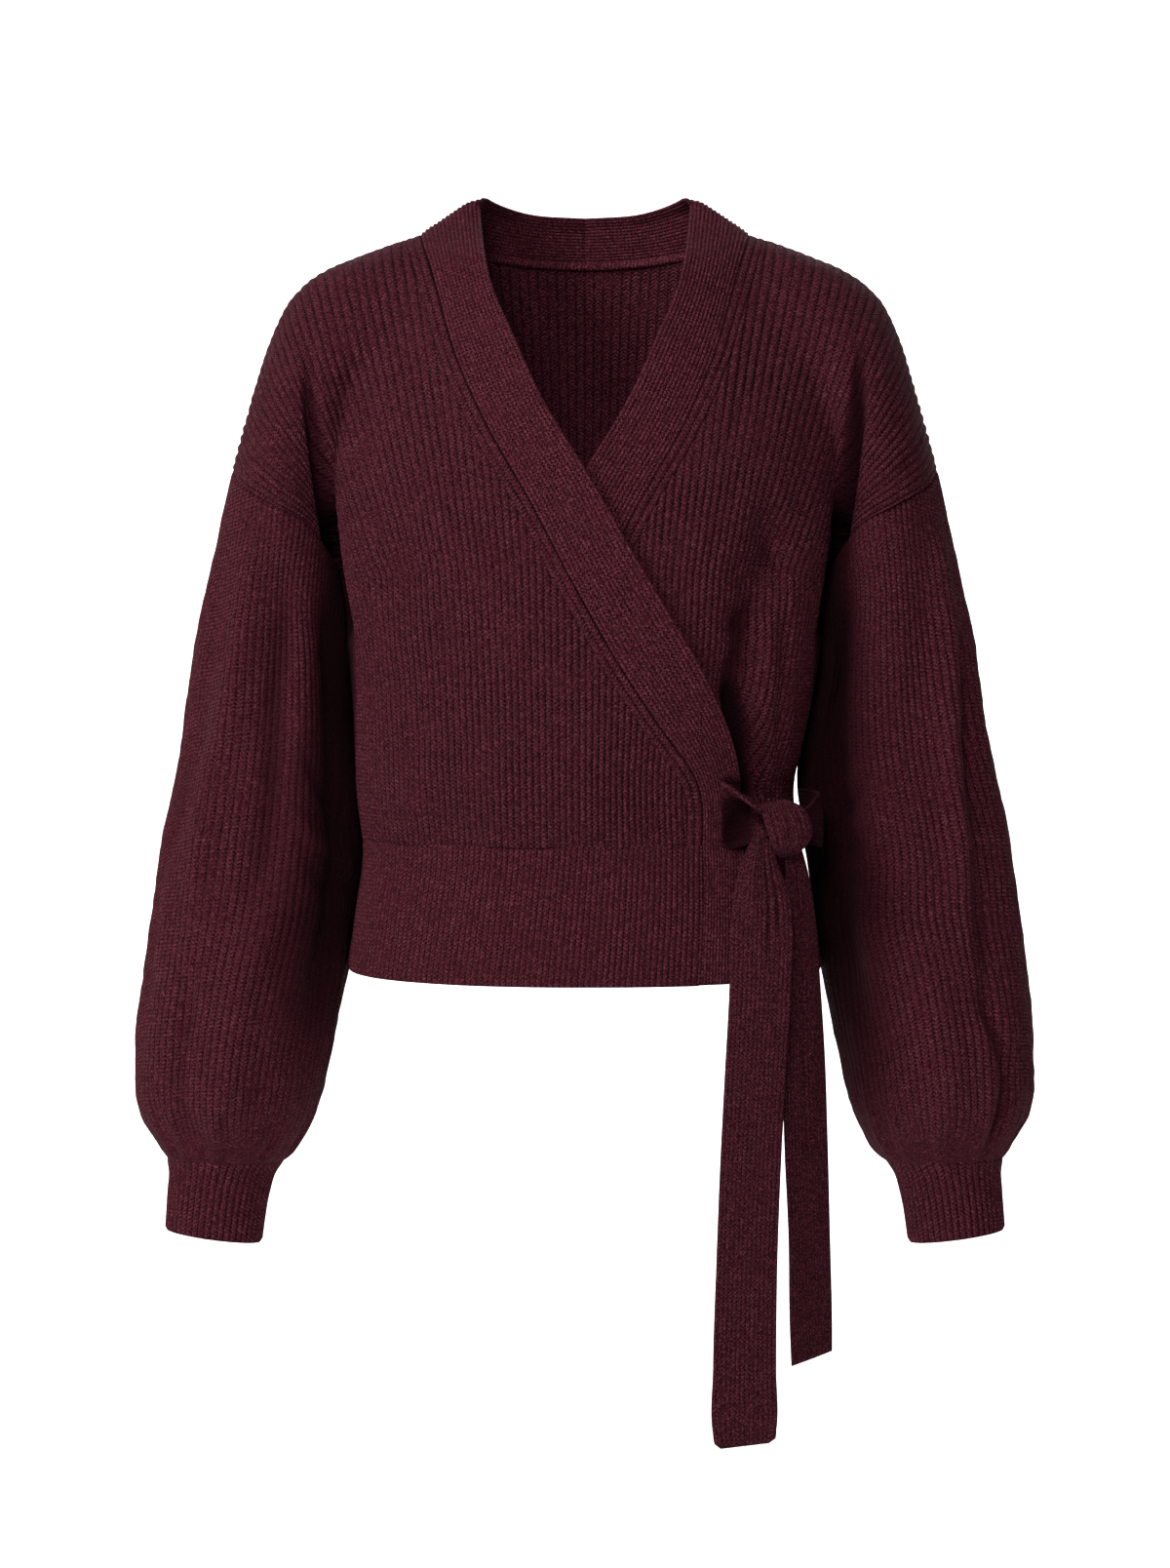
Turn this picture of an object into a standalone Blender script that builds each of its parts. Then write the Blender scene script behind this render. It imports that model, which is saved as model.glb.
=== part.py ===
"""A wrap cardigan in rib knit, worn on nobody: it keeps the hollow shape that it takes on a body.

Units are metres and +Z is up. The front faces -Y, and the wearer's right side lies at -X. The origin
is where the garment hangs from, in the middle between the shoulders at the foot of the neck.

Every cloth panel is a wall. Its outer points lie on one smooth surface, the body or the sleeve. The
furrows between the ribs are sunk into that surface, and a plain inner wall runs behind it.
"""

import math

import bmesh
import bpy
import numpy as np

# ---- cloth ---------------------------------------------------------------------------------------
WALL = 0.0020  # plain wall behind the ribs
RIB_RELIEF = 0.0010  # from the furrow to the crest of a rib
SEAM_GAP = 0.0004  # between two pieces that are sewn together
BAND_GAP = 0.0006  # between a panel and the neckband sewn to it
BAND_THICKNESS = 0.0034
TIE_THICKNESS = 0.0030

# ---- driving heights and widths ------------------------------------------------------------------
WAIST_HEIGHT = -0.4075  # seam of the hem rib, at the sides
WAIST_DIP = 0.0035  # how much lower that seam is at centre front and back
HEM_HEIGHT = -0.4910  # lower edge, at the sides
HEM_DIP = 0.0090
UNDERARM_HEIGHT = -0.2350
NECK_HALF, NECK_HEIGHT = 0.1105, -0.0030  # the point where the neckband meets the shoulder
BACK_NECK_DROP = 0.0120  # the back neckline is that much lower at the centre than at the shoulder
SQUARENESS = 2.35  # exponent of the torso's sections: 2 is an ellipse
FLATNESS = 0.66  # depth of a usual section against its width, from which the ribs are spaced
SHOULDER_ROLL = 0.588  # exponent of the curve from the chest up to the crest of the shoulder
CREASE_SHARPNESS = 6  # exponent that joins the chest and the upper arm
BEND_START = 0.55  # from that share of the quarter girth outwards, ribs bend along the armhole
LAP_OVER = 0.0060  # the right front's lap stands that far outside the body's surface
LAP_UNDER = 0.0040  # the left front's lap lies that far inside it
LAP_START, LAP_FULL = 0.1300, 0.0100  # from the centre, on a front's own side: where its lap begins

# ---- ribs ----------------------------------------------------------------------------------------
BODY_RIBS = 40  # on a quarter of the girth
NECK_SHARE = 0.35  # of those, the share that ends at the neck
HEM_RIBS = 46
SLEEVE_RIBS = 58  # all round
CUFF_RIBS = 36
BAND_STEP = 4  # the neckband has one section for that many columns of a panel
INNER_STEP, CLOSE_STEP = 8, 4  # the inner wall keeps each such column of the outer one
ROUND_STEP = 6  # the same on sleeves and cuffs
CREASE_SHARE = 0.7  # beyond it a panel bends into the crease of the underarm
STEEP_SHARE = 0.30  # from it to the neck share each rib of a front ends far below the next one


def table(columns, *rows):
    """A dictionary of arrays, one for each column name."""
    return dict(zip(columns.split(), np.array(rows, float).T))


# Half widths of the body on the wearer's right and left, and its depths before and behind Y = 0.
TORSO = table(
    "height  right   left    front   back",
    (-0.500, 0.1595, 0.1590, 0.1060, 0.1000),  # lower edge
    (-0.455, 0.1530, 0.1525, 0.1000, 0.0940),  # middle of the hem rib
    (-0.411, 0.1480, 0.1430, 0.0960, 0.0880),  # waist seam
    (-0.392, 0.1500, 0.1400, 0.1010, 0.0920),  # cloth that swells above it
    (-0.366, 0.1520, 0.1390, 0.1050, 0.0940),  # where the tie draws the left side in
    (-0.341, 0.1530, 0.1450, 0.1075, 0.0950),
    (-0.302, 0.1560, 0.1535, 0.1100, 0.0970),
    (-0.235, 0.1630, 0.1615, 0.1120, 0.1000),  # underarm
    (-0.170, 0.1700, 0.1690, 0.1090, 0.1040),  # chest
    (-0.100, 0.1780, 0.1780, 0.1020, 0.1030),
    (-0.040, 0.1840, 0.1840, 0.0940, 0.0980),
    (0.060, 0.1860, 0.1860, 0.0880, 0.0960),
)

# The crest of the shoulder seen from the front, and the arm's outer outline that follows it. Inside
# the neck the crest isn't cloth: it only steers the slope of the chest and the back.
CREST = table(
    "across  height",
    (0.0000, 0.0800),
    (0.0350, 0.0660),
    (0.0700, 0.0340),
    (NECK_HALF, NECK_HEIGHT),  # neck point
    (0.1340, -0.0120),
    (0.1550, -0.0200),
    (0.1730, -0.0280),
    (0.1880, -0.0385),  # point of the shoulder
    (0.2010, -0.0545),
    (0.2120, -0.0810),
    (0.2200, -0.1070),
    (0.2275, -0.1330),
    (0.2343, -0.1590),  # top of the armhole seam
    (0.2399, -0.1850),
    (0.2467, -0.2110),
    (0.2525, -0.2370),
)
ARMHOLE_TOP = 0.2343

# The upper arm inside the body panels: the inner edge of its bulge, and how far that stands forward.
UPPER_ARM = table(
    "height  inner   bulge",
    (-0.235, 0.1660, 0.0580),
    (-0.200, 0.1590, 0.0600),
    (-0.170, 0.1560, 0.0610),
    (-0.120, 0.1470, 0.0600),
    (-0.060, 0.1080, 0.0440),
    (-0.020, 0.0850, 0.0240),
    (0.000, 0.0800, 0.0060),
)

# Course of the armhole seam from the underarm to the top, as shares of its width and height.
ARMHOLE = table(
    "rise  across  up",
    (0.000, 0.00, 0.000),
    (0.265, 0.09, 0.275),
    (0.410, 0.25, 0.460),
    (0.550, 0.55, 0.610),
    (0.680, 0.80, 0.750),
    (1.000, 1.00, 1.000),
)

# Neckband along a front: its seam to the panel and its free edge. Across counts towards the
# wearer's own side of that front, so it turns negative past the centre.
FRONT_EDGE = table(
    "seam_across seam_height edge_across edge_height",
    (NECK_HALF, NECK_HEIGHT, 0.0705, 0.0205),  # shoulder
    (0.0984, -0.0440, 0.0640, -0.0330),
    (0.0835, -0.0945, 0.0458, -0.0807),
    (0.0625, -0.1415, 0.0270, -0.1230),
    (0.0350, -0.1900, -0.0020, -0.1710),  # where the two fronts cross
    (0.0081, -0.2417, -0.0305, -0.2215),
    (-0.0200, -0.2914, -0.0590, -0.2690),
    (-0.0430, -0.3270, -0.0790, -0.3035),
    (-0.0725, -0.3705, -0.0995, -0.3560),  # end of the slope, where the tie is sewn on
    (-0.0757, -0.4110, -0.1075, -0.4110),  # waist seam
    (-0.0735, -0.5000, -0.1050, -0.5000),  # lower edge
)
SLOPE_END = -0.3705
BAND_ROLL = 0.0400  # that far below the shoulder the band has turned from upright to flat

# Free edge of the neckband behind the neck, by its share of the way from the centre to the shoulder.
NECK_STAND = table(
    "share across  depth   height",
    (0.00, 0.0000, 0.0600, 0.0160),
    (0.40, 0.0400, 0.0500, 0.0175),
    (0.80, 0.0660, 0.0230, 0.0215),
    (1.00, 0.0705, 0.0000, 0.0205),
)

# Sleeve below the armhole: the inner end of each section on the wearer's right and left, the outer
# end, the depths before and behind the section's middle, and how far that middle lies behind Y = 0.
SLEEVE = table(
    "inner_right inner_left inner_z outer_x outer_z  front   back  behind",
    (0.1645, 0.1630, -0.2620, 0.2450, -0.2050, 0.0580, 0.0590, 0.0030),  # below the armhole
    (0.1510, 0.1490, -0.3050, 0.2580, -0.2630, 0.0590, 0.0610, 0.0090),
    (0.1440, 0.1425, -0.3600, 0.2695, -0.3360, 0.0600, 0.0630, 0.0120),  # elbow
    (0.1470, 0.1515, -0.4300, 0.2860, -0.4190, 0.0620, 0.0640, 0.0110),
    (0.1600, 0.1605, -0.4970, 0.2955, -0.4970, 0.0640, 0.0640, 0.0040),
    (0.1690, 0.1690, -0.5490, 0.2990, -0.5490, 0.0640, 0.0610, -0.0040),  # fullest
    (0.1800, 0.1800, -0.5910, 0.2945, -0.5890, 0.0530, 0.0510, -0.0080),
    (0.1940, 0.1940, -0.6130, 0.2810, -0.6110, 0.0400, 0.0380, -0.0100),  # gathers
    (0.2030, 0.2030, -0.6205, 0.2770, -0.6180, 0.0332, 0.0312, -0.0100),  # seam to the cuff
)
BODY_CLEAR = 0.0018  # a sleeve that hangs against the body lies that far off its side
UNDERARM_REACH = 0.10  # share of the armhole to either side of the underarm
UNDERARM_CLEAR = (0.0015, 0.0, -0.0005)  # the sleeve stands that far off the body there

CUFF = table(
    "inner_right inner_left inner_z outer_x outer_z  front   back  behind",
    (0.2030, 0.2030, -0.6209, 0.2770, -0.6184, 0.0330, 0.0310, -0.0100),  # seam to the sleeve
    (0.2145, 0.2145, -0.6740, 0.2790, -0.6650, 0.0290, 0.0280, -0.0100),  # lower edge
)

# The ties, through the two edges of each stretch. Cup stands the middle off the line between them.
STRAP_FRONT = table(
    "ax      ay       az       bx      by       bz       cup",
    (0.0895, -0.0955, -0.3690, 0.0895, -0.0945, -0.4105, 0.0),  # sewn to the right neckband
    (0.0960, -0.0925, -0.3715, 0.0960, -0.0915, -0.4105, -0.0005),
    (0.1035, -0.0905, -0.3760, 0.1035, -0.0880, -0.4100, -0.0020),
    (0.1119, -0.0880, -0.3815, 0.1129, -0.0860, -0.4090, -0.0030),  # into the knot
)
TAIL_FRONT = table(
    "ax      ay       az       bx      by       bz       cup",
    (0.1010, -0.0890, -0.4125, 0.1245, -0.0880, -0.4182, 0.0),  # out of the knot
    (0.0958, -0.0935, -0.4380, 0.1315, -0.0920, -0.4400, 0.0020),
    (0.0935, -0.0970, -0.4620, 0.1335, -0.0950, -0.4620, 0.0020),
    (0.0925, -0.1005, -0.4990, 0.1325, -0.0990, -0.4990, 0.0010),  # over the hem
    (0.0895, -0.1005, -0.5550, 0.1290, -0.0990, -0.5550, 0.0005),
    (0.0865, -0.0990, -0.6150, 0.1258, -0.0980, -0.6150, 0.0005),
    (0.0840, -0.0985, -0.6800, 0.1235, -0.0975, -0.6800, 0.0005),
    (0.0820, -0.0980, -0.7450, 0.1228, -0.0970, -0.7450, 0.0005),
    (0.0822, -0.0980, -0.7910, 0.1228, -0.0970, -0.7880, 0.0005),
    (0.0850, -0.0980, -0.7965, 0.1205, -0.0970, -0.7925, 0.0005),  # rounded corners
)
STRAP_BACK = table(
    "ax      ay       az       bx      by       bz       cup",
    (0.1415, -0.0200, -0.3720, 0.1428, -0.0200, -0.4080, 0.0),  # sewn at the left side
    (0.1470, -0.0340, -0.3735, 0.1485, -0.0340, -0.4095, 0.0),
    (0.1545, -0.0500, -0.3750, 0.1560, -0.0500, -0.4110, 0.0010),
    (0.1570, -0.0650, -0.3765, 0.1575, -0.0660, -0.4105, 0.0010),
    (0.1477, -0.0800, -0.3850, 0.1477, -0.0810, -0.4050, 0.0),  # into the knot
)
TAIL_BACK = table(
    "ax      ay       az       bx      by       bz       cup",
    (0.1290, -0.0860, -0.4211, 0.1440, -0.0720, -0.4245, 0.0010),  # out of the knot
    (0.1270, -0.0870, -0.4560, 0.1495, -0.0690, -0.4560, 0.0020),
    (0.1265, -0.0880, -0.4920, 0.1520, -0.0670, -0.4920, 0.0020),
    (0.1270, -0.0880, -0.5450, 0.1557, -0.0660, -0.5450, 0.0010),
    (0.1285, -0.0870, -0.6070, 0.1578, -0.0650, -0.6070, 0.0010),
    (0.1310, -0.0860, -0.6600, 0.1592, -0.0640, -0.6600, 0.0005),
    (0.1320, -0.0850, -0.7210, 0.1607, -0.0640, -0.7210, 0.0005),
    (0.1330, -0.0850, -0.7455, 0.1607, -0.0640, -0.7390, 0.0005),  # slanted end
)

KNOT_PLACE = (0.1295, -0.0860, -0.4000)
KNOT_DEPTH = 0.0300
KNOT_TILTS = (-72, -45, -15, 15, 45, 72)  # degrees: its rings, from the back to the front
KNOT_SIDES = 12  # points in each ring
KNOT_ROUNDNESS = 0.7  # exponent: below 1 its sides are fuller than a ball's
KNOT = table(
    "turn reach",  # degrees from +X towards +Z, and the distance to the outline
    (0, 0.0176),
    (45, 0.0185),
    (90, 0.0213),
    (133, 0.0235),
    (180, 0.0140),
    (225, 0.0155),
    (262, 0.0222),
    (310, 0.0165),
    (360, 0.0176),
)

# Rows of points up a body panel: 0 is the waist seam, 1 the underarm and 2 the shoulder crest.
PANEL_ROWS = (0.0, 0.16, 0.5, 1.0, 1.2, 1.4, 1.62, 1.84, 2.0)

# The left front and its hem rib have few ribs past these shares, where the right front covers them.
PANEL_HIDDEN, HEM_HIDDEN, NONE_HIDDEN = -0.10, 0.45, -1.0
HEM_HIDDEN_STEP = 8  # there the hem rib keeps each such column

COLOURS = {
    "body": (0.075, 0.014, 0.022),
    "hem": (0.062, 0.012, 0.018),
    "band": (0.070, 0.013, 0.021),
    "tie": (0.045, 0.008, 0.014),
}
WOOL_ROUGHNESS = 0.92
SHARP_ANGLE = 50  # degrees: edges sharper than this are shown as edges


# ---- curves --------------------------------------------------------------------------------------
def smooth(value):
    """0 below 0 and 1 above 1, with a soft step between."""
    value = np.clip(value, 0.0, 1.0)
    return value * value * (3.0 - 2.0 * value)


def follow(knots, values, where):
    """A smooth curve through (knots, values), read at where, and level beyond its ends."""
    knots, values = np.asarray(knots, float), np.asarray(values, float)
    slopes = np.gradient(values, knots)
    where = np.clip(where, knots[0], knots[-1])
    left = np.clip(np.searchsorted(knots, where, side="right") - 1, 0, len(knots) - 2)
    span = knots[left + 1] - knots[left]
    step = (where - knots[left]) / span
    return (
        values[left] * (1 + 2 * step) * (1 - step) ** 2
        + slopes[left] * span * step * (1 - step) ** 2
        + values[left + 1] * step**2 * (3 - 2 * step)
        + slopes[left + 1] * span * step**2 * (step - 1)
    )


def run_of(points):
    """Length along a polyline at each of its points."""
    return np.concatenate([[0.0], np.cumsum(np.linalg.norm(np.diff(points, axis=0), axis=1))])


def quarter_section():
    """Shares of half width and of depth on a quarter section, by share of its girth."""
    angle = np.linspace(0.0, math.pi / 2, 600)
    across = np.sin(angle) ** (2 / SQUARENESS)
    deep = np.clip(np.cos(angle), 0.0, 1.0) ** (2 / SQUARENESS)
    run = run_of(np.column_stack([across, FLATNESS * deep]))
    return run / run[-1], across, deep


GIRTH_SHARE, ACROSS_SHARE, DEEP_SHARE = quarter_section()
CREST_X = np.linspace(0.0, CREST["across"][-1], 500)
CREST_Z = follow(CREST["across"], CREST["height"], CREST_X)


# ---- the body's surface --------------------------------------------------------------------------
def half_width(x, z):
    right = follow(TORSO["height"], TORSO["right"], z)
    left = follow(TORSO["height"], TORSO["left"], z)
    return np.where(np.asarray(x) < 0, right, left)


def depth(x, z, face):
    """How far the body's surface stands off the plane Y = 0 at (x, z), on its front or back face."""
    reach = np.abs(x)
    full = follow(TORSO["height"], TORSO[face], z)
    lateral = np.clip(1 - (reach / half_width(x, z)) ** SQUARENESS, 0, 1) ** (1 / SQUARENESS)
    top = np.interp(reach, CREST_X, CREST_Z)
    climb = np.clip((z - UNDERARM_HEIGHT) / (top - UNDERARM_HEIGHT), 0, 1)
    torso = full * lateral * (1 - climb**2) ** SHOULDER_ROLL
    outer = np.interp(-z, -CREST_Z, CREST_X)
    inner = follow(UPPER_ARM["height"], UPPER_ARM["inner"], z)
    middle, radius = (outer + inner) / 2, (outer - inner) / 2
    round_off = np.clip(1 - ((reach - middle) / radius) ** 2, 0, 1) ** 0.5
    arm = follow(UPPER_ARM["height"], UPPER_ARM["bulge"], z) * round_off
    arm = np.where(z < UNDERARM_HEIGHT, 0.0, arm)
    return (torso**CREASE_SHARPNESS + arm**CREASE_SHARPNESS) ** (1 / CREASE_SHARPNESS)


def crest_point(share):
    """Where a rib ends at the shoulder, by its share of the quarter girth."""
    cloth = (CREST_X >= NECK_HALF) & (CREST_X <= ARMHOLE_TOP)
    line = np.column_stack([CREST_X[cloth], CREST_Z[cloth]])
    run = run_of(line)
    beyond = np.clip((share - NECK_SHARE) / (1 - NECK_SHARE), 0, 1) * run[-1]
    across = np.where(
        share < NECK_SHARE, NECK_HALF * share / NECK_SHARE, np.interp(beyond, run, line[:, 0])
    )
    neckline = NECK_HEIGHT - BACK_NECK_DROP * (1 - (across / NECK_HALF) ** 2)
    return across, np.where(share < NECK_SHARE, neckline, np.interp(across, CREST_X, CREST_Z))


def body_point(share, rise, face, level=None):
    """Points on the body. Share runs from -1 at the right side seam over 0 at the centre to 1 at the
    left one. Rise is 0 at the waist seam, 1 at the underarm and 2 at the crest."""
    share, rise = np.broadcast_arrays(np.asarray(share, float), np.asarray(rise, float))
    side, reach = np.where(share < 0, -1.0, 1.0), np.abs(share)
    across = np.interp(reach, GIRTH_SHARE, ACROSS_SHARE)
    deep = np.interp(reach, GIRTH_SHARE, DEEP_SHARE)

    low = np.clip(rise, 0, 1)
    waist = WAIST_HEIGHT - WAIST_DIP * deep
    low_z = waist + (UNDERARM_HEIGHT - waist) * low
    low_x = side * across * half_width(side, low_z)
    low_deep = deep * follow(TORSO["height"], TORSO[face], low_z)

    climb = np.clip(rise - 1, 0, 1)
    end_x, end_z = crest_point(reach)
    bend = smooth((reach - BEND_START) / (1 - BEND_START))
    eased = np.sin(climb * math.pi / 2)
    go_across = (1 - bend) * eased + bend * follow(ARMHOLE["rise"], ARMHOLE["across"], climb)
    go_up = (1 - bend) * eased + bend * follow(ARMHOLE["rise"], ARMHOLE["up"], climb)
    start_x = across * half_width(side, UNDERARM_HEIGHT)
    high_x = side * (start_x + (end_x - start_x) * go_across)
    high_z = UNDERARM_HEIGHT + (end_z - UNDERARM_HEIGHT) * go_up

    x = np.where(rise <= 1, low_x, high_x)
    z = np.where(rise <= 1, low_z, high_z)
    stand = np.where(rise <= 1, low_deep, depth(high_x, high_z, face))
    if level is not None:
        stand = np.maximum(stand + level(x), 0.0)
    forward = -1.0 if face == "front" else 1.0
    return np.stack([x, forward * (stand + SEAM_GAP / 2), z], axis=-1)


def lap_level(side):
    """How far a front lies outside or inside the body's surface. Its side is -1 or 1."""
    lift = LAP_OVER if side < 0 else -LAP_UNDER

    def level(x):
        return lift * smooth((LAP_START - side * x) / (LAP_START - LAP_FULL))

    return level


# ---- from grids of points to closed walls --------------------------------------------------------
def grid_normals(grid, closed):
    """Outward unit normals at the points of a grid whose first index runs round the garment."""
    if closed:
        around = np.roll(grid, -1, axis=0) - np.roll(grid, 1, axis=0)
    else:
        around = np.gradient(grid, axis=0)
    normals = np.cross(around, np.gradient(grid, axis=1))
    return normals / np.maximum(np.linalg.norm(normals, axis=2, keepdims=True), 1e-12)


def make_wall(name, outer, inner, kept, closed, material):
    """One closed body between an outer and an inner grid. Kept lists the outer columns that the
    inner grid also has, so each stretch of rim is a fan between one inner edge and several outer."""
    columns, rows = outer.shape[:2]
    mesh = bmesh.new()
    out = [[mesh.verts.new(point) for point in column] for column in outer]
    back = [[mesh.verts.new(point) for point in column] for column in inner]

    def quads(grid, count):
        for i in range(count):
            for j in range(rows - 1):
                this, other = grid[i], grid[(i + 1) % len(grid)]
                mesh.faces.new((this[j], other[j], other[j + 1], this[j + 1]))

    quads(out, columns if closed else columns - 1)
    quads(back, len(kept) if closed else len(kept) - 1)
    for row in (0, rows - 1):
        for i in range(len(kept) if closed else len(kept) - 1):
            first, last = kept[i], kept[(i + 1) % len(kept)]
            steps = (last - first) % columns
            near, far = back[i][row], back[(i + 1) % len(kept)][row]
            for step in range(steps):
                a = out[(first + step) % columns][row]
                b = out[(first + step + 1) % columns][row]
                mesh.faces.new((a, b, near if step < (steps + 1) // 2 else far))
            turn = out[(first + (steps + 1) // 2) % columns][row]
            mesh.faces.new((near, turn, far))
    if not closed:
        for column, other in ((out[0], back[0]), (out[-1], back[-1])):
            for j in range(rows - 1):
                mesh.faces.new((column[j], column[j + 1], other[j + 1], other[j]))
    bmesh.ops.recalc_face_normals(mesh, faces=mesh.faces)
    return finish_mesh(name, mesh, material)


def finish_mesh(name, mesh, material):
    data = bpy.data.meshes.new(name)
    mesh.to_mesh(data)
    mesh.free()
    data.shade_smooth()
    data.set_sharp_from_angle(angle=math.radians(SHARP_ANGLE))
    data.materials.append(MATERIALS[material])
    thing = bpy.data.objects.new(name, data)
    PARTS.objects.link(thing)
    return thing


def unit(vectors):
    return vectors / np.maximum(np.linalg.norm(vectors, axis=-1, keepdims=True), 1e-12)


def outward_normals(grid, closed=False, level_rows=()):
    """Normals that point away from the hollow. On a side or shoulder seam, where a panel meets the
    plane Y = 0, they lie in that plane, and on level_rows they are horizontal."""
    normals = grid_normals(grid, closed)
    if (normals * (grid - grid.mean(axis=(0, 1)))).sum() < 0:
        normals = -normals
    if not closed:
        normals[..., 1] = np.where(np.abs(grid[..., 1]) < SEAM_GAP, 0.0, normals[..., 1])
    for row in level_rows:
        normals[:, row, 2] = 0.0
    return unit(normals)


def knit_wall(name, grid, normals, material, furrow, kept, closed=False):
    """A panel from the points of its outer surface. Furrow says which columns are sunk."""
    outer = grid - normals * (RIB_RELIEF * np.asarray(furrow, float))[:, None, None]
    inner = grid[kept] - normals[kept] * (RIB_RELIEF + WALL)
    return make_wall(name, outer, inner, kept, closed, material)


def furrows(count):
    """True for every second column, so that a rib has one crest and shares its furrows."""
    return np.arange(count) % 2 == 1


def inner_columns(number, close):
    """Places of the columns that the inner wall keeps, with more of them where close."""
    stays = (number % INNER_STEP == 0) | ((number % CLOSE_STEP == 0) & close)
    stays[-1] = True
    return list(np.nonzero(stays)[0])


# ---- body panels ---------------------------------------------------------------------------------
def build_back():
    share = np.linspace(-1, 1, 4 * BODY_RIBS + 1)
    grid = body_point(share[:, None], np.array(PANEL_ROWS)[None, :], "back")
    normals = outward_normals(grid, level_rows=(0,))
    number = np.arange(len(share))
    kept = inner_columns(number, (np.abs(share) > CREASE_SHARE) | (np.abs(share) <= NECK_SHARE))
    knit_wall("back", grid, normals, "body", number % 2 == 1, kept)
    return grid, normals


def edge_line(name, height):
    """A column of the neckband's table by the height of its seam."""
    return follow(-FRONT_EDGE["seam_height"], FRONT_EDGE[name], -height)


def seam_line(height):
    """Where the seam of the neckband lies across a front, by height."""
    return edge_line("seam_across", height)


def slope_rise(share, side):
    """How far up a rib of a front reaches before it meets the seam of the neckband."""
    rises = np.linspace(0.0, 2.0, 801)
    path = body_point(side * share, rises, "front")
    short = side * path[:, 0] - seam_line(path[:, 2])
    crossed = np.nonzero(short[1:] < 0)[0]
    if share >= NECK_SHARE or not len(crossed):
        return 2.0
    at = crossed[0]
    return rises[at] + (rises[1] - rises[0]) * short[at] / (short[at] - short[at + 1])


def girth_share(across):
    """The share of the quarter girth at a share of the half width."""
    return np.sign(across) * np.interp(abs(across), ACROSS_SHARE, GIRTH_SHARE)


def thinned(share, hidden, step):
    """Numbers of the columns that stay when only each step-th does past the hidden share."""
    number = np.arange(len(share))
    return number[(share > hidden) | (number % step == 0) | (number == len(share) - 1)]


def front_columns(side):
    """Shares of the columns of a front, from its side seam to the end of its slope, and their
    numbers. Every second one lies in a furrow."""
    end = float(girth_share(seam_line(SLOPE_END) / half_width(-side, SLOPE_END)))
    share = np.linspace(1, end, int(round((1 - end) * BODY_RIBS)) * 2 + 1)
    number = thinned(share, PANEL_HIDDEN if side > 0 else NONE_HIDDEN, BAND_STEP)
    return share[number], number


def band_columns(share, number):
    """Places of the columns of a front at which the neckband has a section."""
    stays = (number % BAND_STEP == 0) | (share > STEEP_SHARE)
    return np.nonzero(stays & (share < NECK_SHARE))[0]


def build_front(name, side):
    share, number = front_columns(side)
    reach = np.array([slope_rise(one, side) for one in share])
    rows = np.array(PANEL_ROWS)[None, :] * reach[:, None] / 2
    grid = body_point(side * share[:, None], rows, "front", lap_level(side))
    normals = outward_normals(grid, level_rows=(0,))
    close = (share > CREASE_SHARE) | (share < NECK_SHARE)
    kept = sorted({*inner_columns(number, close), *band_columns(share, number)})
    knit_wall(name, grid, normals, "body", number % 2 == 1, kept)
    return grid, normals


# ---- hem rib -------------------------------------------------------------------------------------
def hem_point(share, drop, face, level=None):
    """Points on the hem rib. Drop is 0 at the waist seam and 1 at the lower edge."""
    share, drop = np.broadcast_arrays(np.asarray(share, float), np.asarray(drop, float))
    side, reach = np.where(share < 0, -1.0, 1.0), np.abs(share)
    across = np.interp(reach, GIRTH_SHARE, ACROSS_SHARE)
    deep = np.interp(reach, GIRTH_SHARE, DEEP_SHARE)
    top = WAIST_HEIGHT - WAIST_DIP * deep - SEAM_GAP
    z = top + (HEM_HEIGHT - HEM_DIP * deep - top) * drop
    x = side * across * half_width(side, z)
    stand = deep * follow(TORSO["height"], TORSO[face], z)
    if level is not None:
        stand = np.maximum(stand + level(x), 0.0)
    forward = -1.0 if face == "front" else 1.0
    return np.stack([x, forward * (stand + SEAM_GAP / 2), z], axis=-1)


def build_hem(name, face, shares, number, level=None):
    """Shares holds, for each column, its share of the quarter girth at each row."""
    drops = np.linspace(0.0, 1.0, shares.shape[1])
    grid = hem_point(shares, drops[None, :], face, level)
    normals = outward_normals(grid, level_rows=(0,))
    knit_wall(name, grid, normals, "hem", number % 2 == 1, inner_columns(number, False))
    return grid, normals


def build_hems():
    drops = np.array([0.0, 1.0])
    share = np.linspace(-1, 1, 4 * HEM_RIBS + 1)
    build_hem("hem_back", "back", np.repeat(share[:, None], len(drops), axis=1), np.arange(len(share)))
    hems = {}
    for name, side, hidden in (("hem_right_front", -1, NONE_HIDDEN), ("hem_left_front", 1, HEM_HIDDEN)):
        bottom = FRONT_EDGE["seam_height"][-1]
        end_below = float(girth_share(seam_line(bottom) / half_width(-side, bottom)))
        end = np.array([front_columns(side)[0][-1], end_below])
        along = np.linspace(0, 1, int(round((1 - end[0]) * HEM_RIBS)) * 2 + 1)
        shares = 1 + (end[None, :] - 1) * along[:, None]
        number = thinned(shares[:, 0], hidden, HEM_HIDDEN_STEP)
        hems[side] = build_hem(name, "front", side * shares[number], number, lap_level(side))
    return hems


# ---- sleeves and cuffs ---------------------------------------------------------------------------
def ring_around(grids, side):
    """The armhole rim of the body from the underarm over the front, the top and the back, and its
    normals."""
    (front, front_normals), (back, back_normals) = grids[side], grids["back"]
    up = PANEL_ROWS.index(1.0)
    column = 0 if side < 0 else -1
    points = np.concatenate([front[0, up:], back[column, up:][::-1]])
    normals = np.concatenate([front_normals[0, up:], back_normals[column, up:][::-1]])
    return points, normals


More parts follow.
